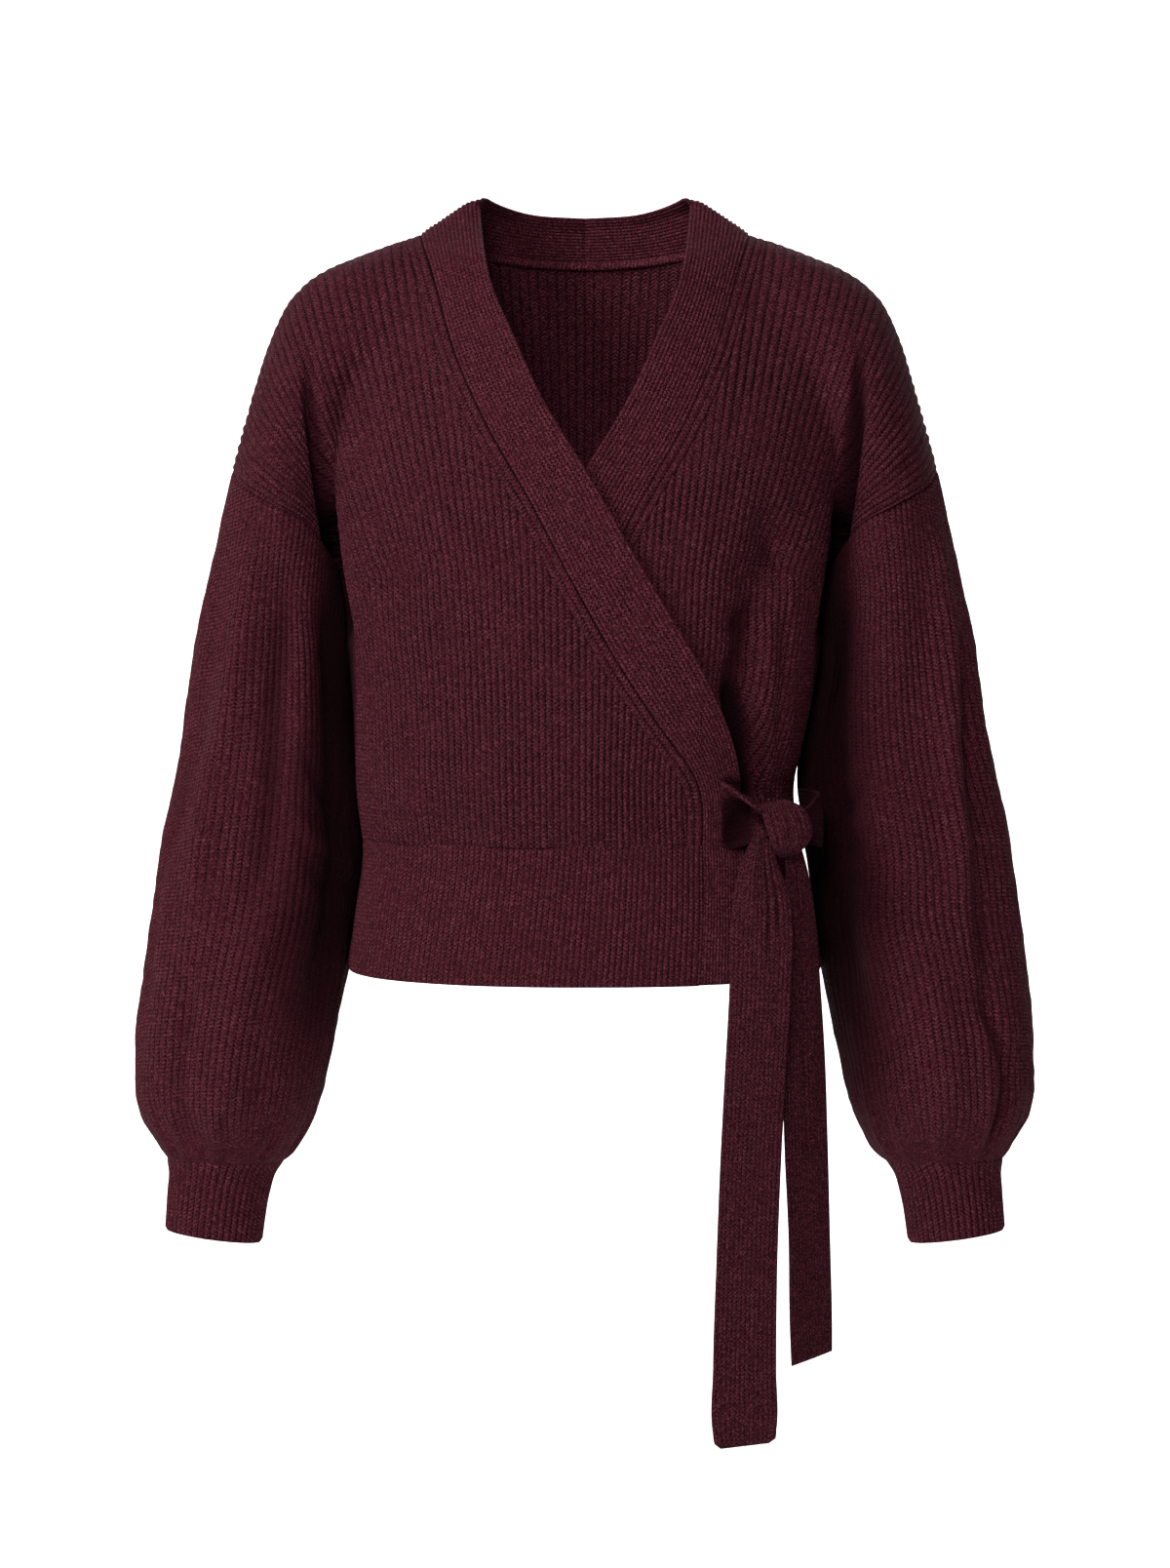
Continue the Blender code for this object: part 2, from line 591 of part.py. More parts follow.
def body_side(y, z, side):
    """How far the side of the body reaches from the centre at (y, z), below the underarm."""
    full = np.where(y < 0, follow(TORSO["height"], TORSO["front"], z), follow(TORSO["height"], TORSO["back"], z))
    round_off = np.clip(1 - (np.abs(y) / full) ** SQUARENESS, 0, 1) ** (1 / SQUARENESS)
    return np.where(z < UNDERARM_HEIGHT, half_width(side, z) * round_off, 0.0)


def ellipse_section(row, share, side):
    """Points round one section of a sleeve or cuff, which gives way where the body is. Share is 0 at
    its inner end, 0.25 in front, 0.5 at its outer end and 0.75 behind."""
    turn = 2 * math.pi * share
    inner = np.array([row["inner_right" if side < 0 else "inner_left"], row["inner_z"]])
    outer = np.array([row["outer_x"], row["outer_z"]])
    place = (inner + outer) / 2 + (inner - outer) / 2 * np.cos(turn)[:, None]
    y = row["behind"] + np.where(np.sin(turn) > 0, -row["front"], row["back"]) * np.abs(np.sin(turn))
    x = np.maximum(place[:, 0], body_side(y, place[:, 1], side) + BODY_CLEAR)
    return np.column_stack([side * x, y, place[:, 1]])


def rows_of(sections):
    names = list(sections)
    return [dict(zip(names, values)) for values in zip(*(sections[name] for name in names))]


def within_cuff_seam(normals, side):
    """The same normals laid in the plane of the cuff's seam, so that the two rims stay parallel."""
    rise = CUFF["outer_z"][0] - CUFF["inner_z"][0]
    axis = unit(np.array([-side * rise, 0.0, CUFF["outer_x"][0] - CUFF["inner_right"][0]]))
    return unit(normals - (normals @ axis)[:, None] * axis)


def build_sleeve(name, side, grids):
    share = np.arange(2 * SLEEVE_RIBS) / (2 * SLEEVE_RIBS)
    ring, ring_normals = ring_around(grids, side)
    run = run_of(ring)
    half = run[len(ring) // 2]
    at = np.where(share < 0.5, share * 2 * half, half + (share * 2 - 1) * (run[-1] - half))
    first = np.column_stack([np.interp(at, run, ring[:, k]) for k in range(3)])
    rim = np.column_stack([np.interp(at, run, ring_normals[:, k]) for k in range(3)])
    inner_side = np.array([-side, 0.0, 0.0])
    near_underarm = smooth(1 - np.minimum(share, 1 - share) / UNDERARM_REACH)[:, None]
    rim = unit(rim * (1 - near_underarm) + inner_side * near_underarm)
    sections = [ellipse_section(row, share, side) for row in rows_of(SLEEVE)]
    along = np.cross(rim, np.roll(first, -1, axis=0) - np.roll(first, 1, axis=0))
    along = unit(along * np.sign((along * (sections[0] - first)).sum(axis=1, keepdims=True)))
    clear = np.array(UNDERARM_CLEAR) * (side, 1, 1)
    first = first + along * SEAM_GAP * (1 - near_underarm) + clear * near_underarm
    grid = np.stack([first] + sections, axis=1)
    normals = outward_normals(grid, closed=True)
    normals[:, 0] = rim
    normals[:, -1] = within_cuff_seam(normals[:, -1], side)
    kept = list(range(0, len(share), ROUND_STEP))
    knit_wall(name, grid, normals, "body", furrows(len(share)), kept, closed=True)


def build_cuff(name, side):
    share = np.arange(2 * CUFF_RIBS) / (2 * CUFF_RIBS)
    sections = [ellipse_section(row, share, side) for row in rows_of(CUFF)]
    grid = np.stack(sections, axis=1)
    normals = outward_normals(grid, closed=True)
    normals[:, 0] = within_cuff_seam(normals[:, 0], side)
    kept = list(range(0, len(share), ROUND_STEP))
    knit_wall(name, grid, normals, "hem", furrows(len(share)), kept, closed=True)


# ---- neckband ------------------------------------------------------------------------------------
def neck_part(side, back, back_normals):
    """Seam, its normals and the free edge of the band behind the neck, from the centre outwards."""
    share = np.linspace(-1, 1, back.shape[0])
    own = np.nonzero((np.abs(share) <= NECK_SHARE) & (share * side >= 0))[0]
    own = own[np.argsort(np.abs(share[own]))][::BAND_STEP]
    seam = back[own, -1]
    way = np.abs(seam[:, 0]) / NECK_HALF
    across, deep, height = (
        np.interp(way, NECK_STAND["share"], NECK_STAND[name]) for name in ("across", "depth", "height")
    )
    return seam, back_normals[own, -1], np.column_stack([side * across, deep, height])


def slope_part(side, front, front_normals, hem):
    """The same from the shoulder down the slope and on to the lower edge."""
    share, number = front_columns(side)
    own = band_columns(share, number)

    def edge_of(panel, hem_panel):
        slope = panel[own[own < len(share) - 1], -1]
        return np.concatenate([slope, panel[-1, -1:1:-2], panel[-1, :1], hem_panel[-1, 1:]])

    seam, normals = edge_of(front, hem[0]), edge_of(front_normals, hem[1])
    edge_x, edge_z = (edge_line(name, seam[:, 2]) for name in ("edge_across", "edge_height"))
    return seam, normals, np.column_stack([side * edge_x, np.zeros(len(seam)), edge_z])


def build_neckband(name, side, front, back, hem):
    behind, behind_normals, behind_edge = neck_part(side, *back)
    before, before_normals, before_edge = slope_part(side, *front, hem)
    level = lap_level(side)
    rolled = smooth((NECK_HEIGHT - before[:, 2]) / BAND_ROLL)
    lies = depth(before_edge[:, 0], before_edge[:, 2], "front") + level(before_edge[:, 0])
    before_edge[:, 1] = -(lies + SEAM_GAP / 2) * rolled
    seam = np.concatenate([behind, before])
    edge = np.concatenate([behind_edge, before_edge])
    middle = (seam + edge) / 2
    lies = depth(middle[:, 0], middle[:, 2], "front") + level(middle[:, 0]) + SEAM_GAP / 2
    rolled = np.concatenate([np.zeros(len(behind)), rolled])
    middle[:, 1] += (-lies - middle[:, 1]) * rolled
    seam_normals = np.concatenate([behind_normals, before_normals])
    apart = (edge - seam) - ((edge - seam) * seam_normals).sum(axis=1, keepdims=True) * seam_normals
    seam = seam + unit(apart) * BAND_GAP
    grid = np.stack([seam, middle, edge], axis=1)
    grid[0, :, 0] = side * SEAM_GAP / 2
    normals = outward_normals(grid)
    normals[:, 0] = seam_normals
    normals[0, :, 0] = 0.0
    make_wall(name, grid, grid - unit(normals) * BAND_THICKNESS, range(len(grid)), False, "band")


# ---- ties ----------------------------------------------------------------------------------------
def build_ribbon(name, course):
    """A flat tie through its two edges. Cup bends its middle away from the body, or towards it."""
    first = np.column_stack([course["ax"], course["ay"], course["az"]])
    last = np.column_stack([course["bx"], course["by"], course["bz"]])
    grid = np.stack([first, (first + last) / 2, last], axis=1)
    normals = grid_normals(grid, False)
    outward = grid * np.array([1.0, 1.0, 0.0])
    normals *= np.sign((normals * outward).sum(axis=(0, 1, 2)))
    grid[:, 1] += normals[:, 1] * course["cup"][:, None]
    outer, inner = grid + normals * TIE_THICKNESS / 2, grid - normals * TIE_THICKNESS / 2
    make_wall(name, outer, inner, range(len(grid)), False, "tie")


def build_knot():
    """A drawn-up knot: one outline, seen from the front, rounded off before and behind."""
    turn = np.radians(np.arange(KNOT_SIDES) * 360 / KNOT_SIDES)
    reach = np.interp(turn, np.radians(KNOT["turn"]), KNOT["reach"])
    mesh = bmesh.new()
    rings = []
    for tilt in np.radians(KNOT_TILTS):
        wide, y = math.cos(tilt) ** KNOT_ROUNDNESS, KNOT_PLACE[1] + KNOT_DEPTH / 2 * math.sin(tilt)
        x = KNOT_PLACE[0] + reach * wide * np.cos(turn)
        z = KNOT_PLACE[2] + reach * wide * np.sin(turn)
        rings.append([mesh.verts.new((across, y, up)) for across, up in zip(x, z)])
    for ring, beyond in zip(rings, rings[1:]):
        for i in range(len(ring)):
            j = (i + 1) % len(ring)
            mesh.faces.new((ring[i], ring[j], beyond[j], beyond[i]))
    mesh.faces.new(rings[0])
    mesh.faces.new(rings[-1])
    bmesh.ops.recalc_face_normals(mesh, faces=mesh.faces)
    return finish_mesh("knot", mesh, "tie")


# ---- the garment ---------------------------------------------------------------------------------
def clear_scene():
    for thing in list(bpy.data.objects):
        bpy.data.objects.remove(thing)


def new_collection(name):
    made = bpy.data.collections.new(name)
    bpy.context.scene.collection.children.link(made)
    return made


def wool(name, colour):
    material = bpy.data.materials.new(name)
    material.use_nodes = True
    shader = material.node_tree.nodes["Principled BSDF"]
    shader.inputs["Base Color"].default_value = (*colour, 1.0)
    shader.inputs["Roughness"].default_value = WOOL_ROUGHNESS
    shader.inputs["Metallic"].default_value = 0.0
    return material


clear_scene()
PARTS = new_collection("wrap_cardigan")
MATERIALS = {name: wool(f"wool_{name}", colour) for name, colour in COLOURS.items()}

GRIDS = {"back": build_back(), -1: build_front("right_front", -1), 1: build_front("left_front", 1)}
HEMS = build_hems()
for side_name, side in (("right", -1), ("left", 1)):
    build_sleeve(f"sleeve_{side_name}", side, GRIDS)
    build_cuff(f"cuff_{side_name}", side)
    build_neckband(f"neckband_{side_name}", side, GRIDS[side], GRIDS["back"], HEMS[side])
build_ribbon("tie_front_strap", STRAP_FRONT)
build_ribbon("tie_front_tail", TAIL_FRONT)
build_ribbon("tie_back_strap", STRAP_BACK)
build_ribbon("tie_back_tail", TAIL_BACK)
build_knot()
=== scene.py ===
"""The looks of a rib-knit wrap cardigan, worn on nobody.

Metres, +Z up. The front faces -Y and the wearer's right side lies at -X. Each piece of cloth is made
again, finer, from the sizes of its solid: rounded ribs on both faces, soft folds, seams and edges.
"""

import math
from functools import partial

import bmesh
import bpy
import numpy as np
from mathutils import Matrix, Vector


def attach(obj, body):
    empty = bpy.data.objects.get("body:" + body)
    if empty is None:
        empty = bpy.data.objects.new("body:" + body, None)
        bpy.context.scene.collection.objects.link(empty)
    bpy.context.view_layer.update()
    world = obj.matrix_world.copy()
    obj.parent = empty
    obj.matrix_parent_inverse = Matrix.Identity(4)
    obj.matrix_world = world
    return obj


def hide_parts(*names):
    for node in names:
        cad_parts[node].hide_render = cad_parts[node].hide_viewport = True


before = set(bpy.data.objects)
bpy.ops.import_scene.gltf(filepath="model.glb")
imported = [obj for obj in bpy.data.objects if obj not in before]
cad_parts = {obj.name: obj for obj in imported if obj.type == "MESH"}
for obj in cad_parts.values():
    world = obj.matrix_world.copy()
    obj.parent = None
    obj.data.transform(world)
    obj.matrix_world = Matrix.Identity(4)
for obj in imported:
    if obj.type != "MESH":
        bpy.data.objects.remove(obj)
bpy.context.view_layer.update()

# Sizes of the garment.
SEAM_GAP = 0.0004
CLOTH, BAND_CLOTH, TIE_CLOTH = 0.0028, 0.0034, 0.0030  # thickness of each knit
WAIST_HEIGHT, WAIST_DIP = -0.4075, 0.0035  # at the side seams, and how much lower in the middle
HEM_HEIGHT, HEM_DIP = -0.4910, 0.0090
HEM_TUCK = 0.0012  # the hem rib starts that far up inside the body
UNDERARM_HEIGHT = -0.2350
ARMHOLE_TOP = 0.2343  # how far out the armhole meets the shoulder seam
NECK_HALF, BACK_NECK_DROP = 0.1105, 0.0120
NECK_SHARE = 0.35  # share of a panel's columns that end at the neck
SQUARENESS = 2.35  # of the body's section, where 2 is an ellipse
SECTION_DEPTH = 0.66  # of the half width, to measure along the section
SHOULDER_POWER = 0.588  # how full the body stays up to the shoulder seam
MERGE_POWER = 6  # how sharply the body and the upper arm meet
BEND_START = 0.55  # from this share on, the columns bend towards the armhole
LAP_OVER, LAP_UNDER = 0.0060, 0.0040  # how far the right front lies out and the left one in
LAP_START, LAP_FULL = 0.1300, 0.0100
SLOPE_END = -0.3705  # where the sloping front edge turns down
BODY_CLEAR, TOP_CLEAR = 0.0012, -0.0016  # from the torso to the sleeve, at the hem and at the underarm
SLEEVE_LENGTH, CUFF_LENGTH = 0.46, 0.050
KNOT_TURN = 0.100  # length of the knot's turn

# Ribs, stitches and their meshes.
BODY_RIBS, HEM_RIBS = 48, 54  # on a quarter of the girth
SLEEVE_RIBS, CUFF_RIBS = 82, 46  # all round
BAND_RIBS, TIE_RIBS, STRIP_RIBS = 15, 14, 2  # side by side across each
STRIP_WIDTH = 0.0100  # of the ribs that run beside the neckband
STITCH = 0.0026  # height of one stitch
RIB_CREST = 0.15  # share of a rib that isn't sunk
RELIEF = dict(body=0.0011, strip=0.0010, sleeve=0.0010, hem=0.0012, cuff=0.0013, band=0.0011, tie=0.0006)
INNER_RELIEF = 0.0010
FINE = dict(body=6, strip=6, sleeve=5, hem=4, cuff=6, flat=4)  # columns of points a rib
ROWS = dict(low=44, high=78, strip=170, sleeve=112, hem=24, cuff=20)
INNER_COLUMNS, INNER_ROWS = 3, 2  # the inner face has every third column and every second row
WAIST_GROOVE, SIDE_GROOVE, HEM_GROOVE = 0.0004, 0.0009, 0.0007
CUFF_GROOVE, ARMHOLE_GROOVE, BAND_GROOVE = 0.0005, 0.0010, 0.0009
GATHERS = 0.0014  # height of the gathers above the cuff
EDGE_ROUND = 0.0018  # length of the rounding at a rib's lower edge


def table(text):
    """Arrays by column name, from lines of numbers below a line of names."""
    lines = [line.split("#")[0].split() for line in text.strip().splitlines()]
    return dict(zip(lines[0], np.array(lines[1:], float).T))


# Half widths and depths of the body's sections.
TORSO = table("""
height right left  front back
-.5    .1595 .159  .106  .1
-.455  .153  .1525 .1    .094
-.411  .148  .143  .096  .088
-.392  .15   .14   .101  .092
-.366  .152  .139  .105  .094
-.341  .153  .145  .1075 .095
-.302  .156  .1535 .11   .097
-.235  .163  .1615 .112  .1
-.17   .17   .169  .109  .104
-.1    .178  .178  .102  .103
-.04   .184  .184  .094  .098
.06    .186  .186  .088  .096
""")
# The line along the shoulder and down the outside of the arm, by its distance from the middle.
CREST = table("""
across height
0      .08
.035   .066
.07    .034
.1105  -.003
.134   -.012
.155   -.02
.173   -.028
.188   -.0385
.201   -.0545
.212   -.081
.22    -.107
.2275  -.133
.2343  -.159
.2399  -.185
.2467  -.211
.2525  -.237
""")
# The upper arm inside the drop shoulder.
UPPER_ARM = table("""
height inner bulge
-.235  .166  .058
-.2    .159  .06
-.17   .156  .061
-.12   .147  .06
-.06   .108  .044
-.02   .085  .024
0      .08   .006
""")
# How the columns beside the armhole run from the underarm, 0, to its top, 1.
ARMHOLE = table("""
rise across up
0    0      0
.265 .09    .275
.41  .25    .46
.55  .55    .61
.68  .8     .75
1    1      1
""")
# The neckband's seam and its free edge on a front, and the free edge behind the neck.
FRONT_EDGE = table("""
seam_across seam_height edge_across edge_height
.1105       -.003       .0705       .0268
.0984       -.044       .064        -.033
.0835       -.0945      .0458       -.0807
.0625       -.1415      .027        -.123
.035        -.19        -.002       -.171
.0081       -.2417      -.0305      -.2215
-.02        -.2914      -.059       -.269
-.043       -.327       -.079       -.3035
-.0725      -.3705      -.0995      -.356
-.0757      -.411       -.103       -.411
-.0735      -.5         -.105       -.5
""")
NECK_STAND = table("""
share across depth height
0     0      .06   .016
.4    .04    .05   .018
.8    .066   .023  .025
1     .0705  0     .0268
""")
# Sections of sleeve and cuff: the inner and outer ends, and the depth before and behind the arm's line.
SLEEVE = table("""
inner_right inner_left inner_z outer_x outer_z front back  behind
.156        .1545      -.262   .245    -.205   .058  .059  .003
.148        .146       -.305   .258    -.263   .059  .061  .009
.143        .1425      -.36    .2695   -.336   .06   .063  .012
.142        .15        -.43    .286    -.419   .062  .064  .011
.145        .1465      -.456   .29     -.45    .063  .064  .0085
.156        .157       -.497   .2955   -.497   .064  .064  .004
.169        .169       -.549   .299    -.549   .064  .061  -.004
.18         .18        -.591   .2945   -.589   .053  .051  -.008
.193        .193       -.613   .2808   -.611   .04   .038  -.01
.2          .2         -.6215  .277    -.62    .034  .0322 -.01
""")
CUFF = table("""
inner_right inner_left inner_z outer_x outer_z front back  behind
.1985       .1985      -.6185  .278    -.617   .035  .033  -.01
.205        .205       -.6275  .2764   -.626   .0318 .0302 -.01
.2088       .2088      -.64    .277    -.637   .0302 .029  -.01
.2145       .2145      -.674   .279    -.665   .029  .028  -.01
""")
# The deep crease between the chest and the upper arm, on both faces. Right and left say how dark the shade
# painted in it is on each side, from 0 to 1.
ARM_CREASE = table("""
height across depth right left
-.275  .156   0     .9    1
-.25   .159   .012  .9    1
-.225  .1625  .019  .8    1
-.19   .1675  .018  .55   1
-.15   .1731  .014  .28   .9
-.115  .178   .008  .14   .6
-.095  .18    .003  .05   .25
-.08   .1815  0     0     0
""")
CREASE_CHEST, CREASE_ARM = 0.0044, 0.0058  # its reach towards the chest and towards the arm
CREASE_LIP, LIP_AWAY, LIP_WIDTH = 0.24, 0.014, 0.011  # the soft ridge beside it
# Folds of the body: a soft ridge, or a trough where its height is negative, along a line seen from
# the front, where face is -1, or from behind. Width is its reach to either side.
FOLDS = table("""
face x0    z0    x1    z1    width height
-1   .123  -.2   .106  -.262 .012  -.0085  # drape lines above the knot
-1   .105  -.26  .0965 -.318 .0105 -.0135
-1   .1    -.315 .1125 -.376 .0076 -.023
-1   .1    -.382 .101  -.404 .009  -.01
-1   .13   -.355 .136  -.23  .009  .0032
-1   .12   -.36  .118  -.27  .006  .0026
-1   .125  -.36  .1285 -.27  .0035 -.0022
-1   -.133 -.25  -.104 -.175 .011  -.0018  # from the underarms
-1   -.126 -.29  -.082 -.235 .01   .0012
-1   .134  -.24  .108  -.16  .011  -.0018
-1   -.12  -.395 -.095 -.35  .012  .0015  # above the hem rib
-1   -.06  -.397 -.052 -.342 .015  .0012
-1   .01   -.398 .006  -.35  .013  .0012
-1   -.025 -.396 -.03  -.362 .009  -.001
1    -.135 -.245 -.095 -.16  .012  -.0022  # behind
1    .135  -.245 .098  -.165 .011  -.002
1    -.105 -.395 -.085 -.315 .014  .0024
1    -.035 -.397 -.03  -.33  .015  .0018
1    .045  -.396 .038  -.305 .014  .0022
1    .108  -.395 .086  -.32  .013  .002
1    .005  -.396 .005  -.345 .01   -.0014
1    -.07  -.39  -.06  -.34  .01   -.0014
""")
# The gap between a sleeve and the body: how far it reaches out on the sleeve, and how dark the shade painted
# in it is.
ARM_GAP = table("""
height right left deep_right deep_left
-.62   .02   .03  0          0
-.59   .024  .032 .1         .45
-.55   .026  .03  .35        .85
-.51   .036  .03  .8         1
-.47   .041  .034 .95        1
-.42   .04   .038 .95        1
-.36   .031  .037 .95        1
-.3    .017  .024 1          1
-.24   .01   .013 .9         1
-.19   .006  .008 .4         .7
-.15   .004  .004 0          0
""")
# Folds of the sleeves. Round counts from the inner side, 0.25 in front, 0.5 outside and 0.75 behind,
# and down from the armhole to the cuff.
SLEEVE_FOLDS = {
    -1: table("""
round0 down0 round1 down1 width height
.105   .1    .11    .74   .017  -.015  # beside the torso
.315   .07   .345   .6    .011  .007
.235   .12   .25    .58   .012  -.0072
.4     .1    .41    .55   .012  -.003
.455   .3    .44    .8    .013  -.0034
.18    .38   .06    .47   .007  -.0048  # creases inside the elbow
.2     .46   .07    .53   .007  .0042
.17    .54   .04    .58   .007  -.0042
.23    .62   .25    .93   .014  .0042
.33    .72   .325   .96   .01   -.0048
.56    .15   .6     .7    .016  .0048
.68    .3    .7     .85   .015  -.0048
.8     .2    .78    .75   .015  .0045
.9     .45   .86    .6    .008  -.0042
"""),
    1: table("""
round0 down0 round1 down1 width height
.105   .1    .11    .74   .017  -.015  # beside the torso
.372   .05   .33    .6    .01   .0062
.388   .25   .337   .7    .008  -.0064
.44    .25   .39    .8    .011  .003
.3     .15   .27    .6    .014  -.0029
.19    .4    .07    .46   .007  -.0042
.2     .49   .06    .55   .007  .0038
.337   .74   .361   .96   .007  -.008
.24    .66   .255   .95   .014  .0045
.33    .76   .33    .96   .011  .0042
.57    .18   .61    .7    .015  .0048
.67    .28   .69    .85   .015  -.0048
.79    .22   .8     .78   .015  .0045
.89    .42   .85    .58   .008  -.0042
"""),
}
CROSS_FOLD, CROSS_LENGTH = 0.12, 0.40  # a fold that falls less runs round the arm
# The ties, through their two edges. Cup stands the middle off the line between them.
STRAP_FRONT = table("""
ax    ay     az     bx    by     bz     cup
.0885 -.094  -.3675 .0885 -.0915 -.4105 0
.0925 -.0965 -.3692 .092  -.0895 -.4108 -.011
.0985 -.099  -.3735 .0975 -.0875 -.4108 -.019
.1045 -.101  -.3785 .103  -.0865 -.4095 -.019
.111  -.0995 -.3835 .1095 -.086  -.4075 -.017
.119  -.093  -.388  .118  -.086  -.404  -.011
""")
TAIL_FRONT = table("""
ax    ay     az     bx    by     bz     cup
.1085 -.09   -.403  .121  -.09   -.406  .001
.1035 -.0925 -.413  .1225 -.0915 -.417  .0035
.099  -.094  -.425  .1265 -.093  -.428  .0045
.0958 -.095  -.438  .131  -.093  -.44   .004
.0935 -.097  -.462  .1335 -.095  -.462  .0025
.0925 -.1005 -.499  .1325 -.099  -.499  .0015
.0895 -.101  -.555  .129  -.099  -.555  .001
.0865 -.0995 -.615  .1258 -.098  -.615  .0015
.084  -.0985 -.68   .1235 -.0975 -.68   .001
.082  -.098  -.745  .1228 -.097  -.745  .0005
.0822 -.098  -.788  .1228 -.097  -.785  .0005
.0835 -.098  -.794  .1218 -.097  -.7905 0
.087  -.098  -.7965 .118  -.097  -.793  0
""")
STRAP_BACK = table("""
ax    ay    az    bx    by     bz     cup
.1415 -.02  -.372 .1428 -.02   -.408  0
.146  -.034 -.373 .1475 -.034  -.4095 0
.1505 -.05  -.374 .152  -.05   -.4105 .001
.152  -.062 -.375 .1535 -.063  -.411  .001
.149  -.073 -.379 .15   -.0745 -.408  -.002
.143  -.08  -.385 .143  -.081  -.405  -.002
.134  -.084 -.388 .134  -.084  -.403  0
""")
TAIL_BACK = table("""
ax    ay    az     bx    by    bz     cup
.126  -.087 -.406  .138  -.078 -.406  .001
.129  -.086 -.42   .143  -.073 -.423  .001
.127  -.087 -.456  .149  -.069 -.456  .003
.1265 -.088 -.492  .152  -.067 -.492  .003
.127  -.088 -.545  .1557 -.066 -.545  .0015
.1285 -.087 -.607  .1578 -.065 -.607  .0015
.131  -.086 -.66   .1592 -.064 -.66   .001
.132  -.085 -.721  .1607 -.064 -.721  .0005
.133  -.085 -.7455 .1607 -.064 -.7385 .0005
""")
# The turn of the tie round the knot, from its top down the front, below and up behind.
KNOT = table("""
way  ax    ay     az     bx    by     bz     cup
0    .1125 -.087  -.385  .1325 -.087  -.3815 .0012
.125 .1135 -.0965 -.3895 .1415 -.095  -.387  .0035
.25  .1165 -.1    -.4    .146  -.0965 -.3985 .005
.375 .1205 -.097  -.4095 .1435 -.0935 -.407  .004
.5   .1245 -.0885 -.4155 .135  -.087  -.4125 .0012
.625 .121  -.08   -.41   .14   -.08   -.408  .0012
.75  .1175 -.077  -.4    .142  -.077  -.3985 .0012
.875 .114  -.08   -.39   .138  -.08   -.388  .0012
1    .1125 -.087  -.385  .1325 -.087  -.3815 .0012
""")


# Curves and sections.
def smooth(value):
    value = np.clip(value, 0.0, 1.0)
    return value * value * (3.0 - 2.0 * value)


def bell(off, width, power=2):
    return np.exp(-((off / width) ** power))


def follow(knots, values, where):
    """A smooth curve through (knots, values), read at where. Values may have further dimensions."""
    knots, values = np.asarray(knots, float), np.asarray(values, float)
    where = np.clip(where, knots[0], knots[-1])
    slopes = np.gradient(values, knots, axis=0)
    left = np.clip(np.searchsorted(knots, where, side="right") - 1, 0, len(knots) - 2)
    extra = (1,) * (values.ndim - 1)
    span = (knots[left + 1] - knots[left]).reshape(np.shape(where) + extra)
    step = (where - knots[left]).reshape(np.shape(where) + extra) / span
    return (
        values[left] * (1 + 2 * step) * (1 - step) ** 2
        + slopes[left] * span * step * (1 - step) ** 2
        + values[left + 1] * step**2 * (3 - 2 * step)
        + slopes[left + 1] * span * step**2 * (step - 1)
    )


def columns_of(rows, names):
    return np.column_stack([rows[name] for name in names.split()])


def run_of(points):
    return np.concatenate([[0.0], np.cumsum(np.linalg.norm(np.diff(points, axis=0), axis=-1))])


def read_line(at, run, line):
    return np.column_stack([np.interp(at, run, line[:, k]) for k in range(3)])


def unit(vectors):
    return vectors / np.maximum(np.linalg.norm(vectors, axis=-1, keepdims=True), 1e-12)


def between(first, last, place):
    """A grid from one line of points to another."""
    return first[:, None, :] * (1 - place)[None, :, None] + last[:, None, :] * place[None, :, None]


def quarter_section():
    angle = np.linspace(0.0, math.pi / 2, 600)
    across = np.sin(angle) ** (2 / SQUARENESS)
    deep = np.clip(np.cos(angle), 0.0, 1.0) ** (2 / SQUARENESS)
    run = run_of(np.column_stack([across, SECTION_DEPTH * deep]))
    return run / run[-1], across, deep


GIRTH_SHARE, ACROSS_SHARE, DEEP_SHARE = quarter_section()
CREST_X = np.linspace(0.0, CREST["across"][-1], 500)
CREST_Z = follow(CREST["across"], CREST["height"], CREST_X)
NECK_HEIGHT = FRONT_EDGE["seam_height"][0]


# The body's surface.
def half_width(x, z):
    right, left = (follow(TORSO["height"], TORSO[name], z) for name in ("right", "left"))
    return np.where(np.asarray(x) < 0, right, left)


def depth(x, z, face):
    """How far the body's surface stands off the plane Y = 0 at (x, z), on its front or back face."""
    reach = np.abs(x)
    full = follow(TORSO["height"], TORSO[face], z)
    lateral = np.clip(1 - (reach / half_width(x, z)) ** SQUARENESS, 0, 1) ** (1 / SQUARENESS)
    top = np.interp(reach, CREST_X, CREST_Z)
    climb = np.clip((z - UNDERARM_HEIGHT) / (top - UNDERARM_HEIGHT), 0, 1)
    torso = full * lateral * (1 - climb**2) ** SHOULDER_POWER
    outer = np.interp(-z, -CREST_Z, CREST_X)
    inner = follow(UPPER_ARM["height"], UPPER_ARM["inner"], z)
    middle, radius = (outer + inner) / 2, (outer - inner) / 2
    round_off = np.clip(1 - ((reach - middle) / radius) ** 2, 0, 1) ** 0.5
    arm = follow(UPPER_ARM["height"], UPPER_ARM["bulge"], z) * round_off
    arm = np.where(z < UNDERARM_HEIGHT, 0.0, arm)
    return (torso**MERGE_POWER + arm**MERGE_POWER) ** (1 / MERGE_POWER)


def back_neck(way):
    """Height of the back neckline. Way is 0 in the middle and 1 at the shoulder."""
    return NECK_HEIGHT - BACK_NECK_DROP * (1 - way**2)


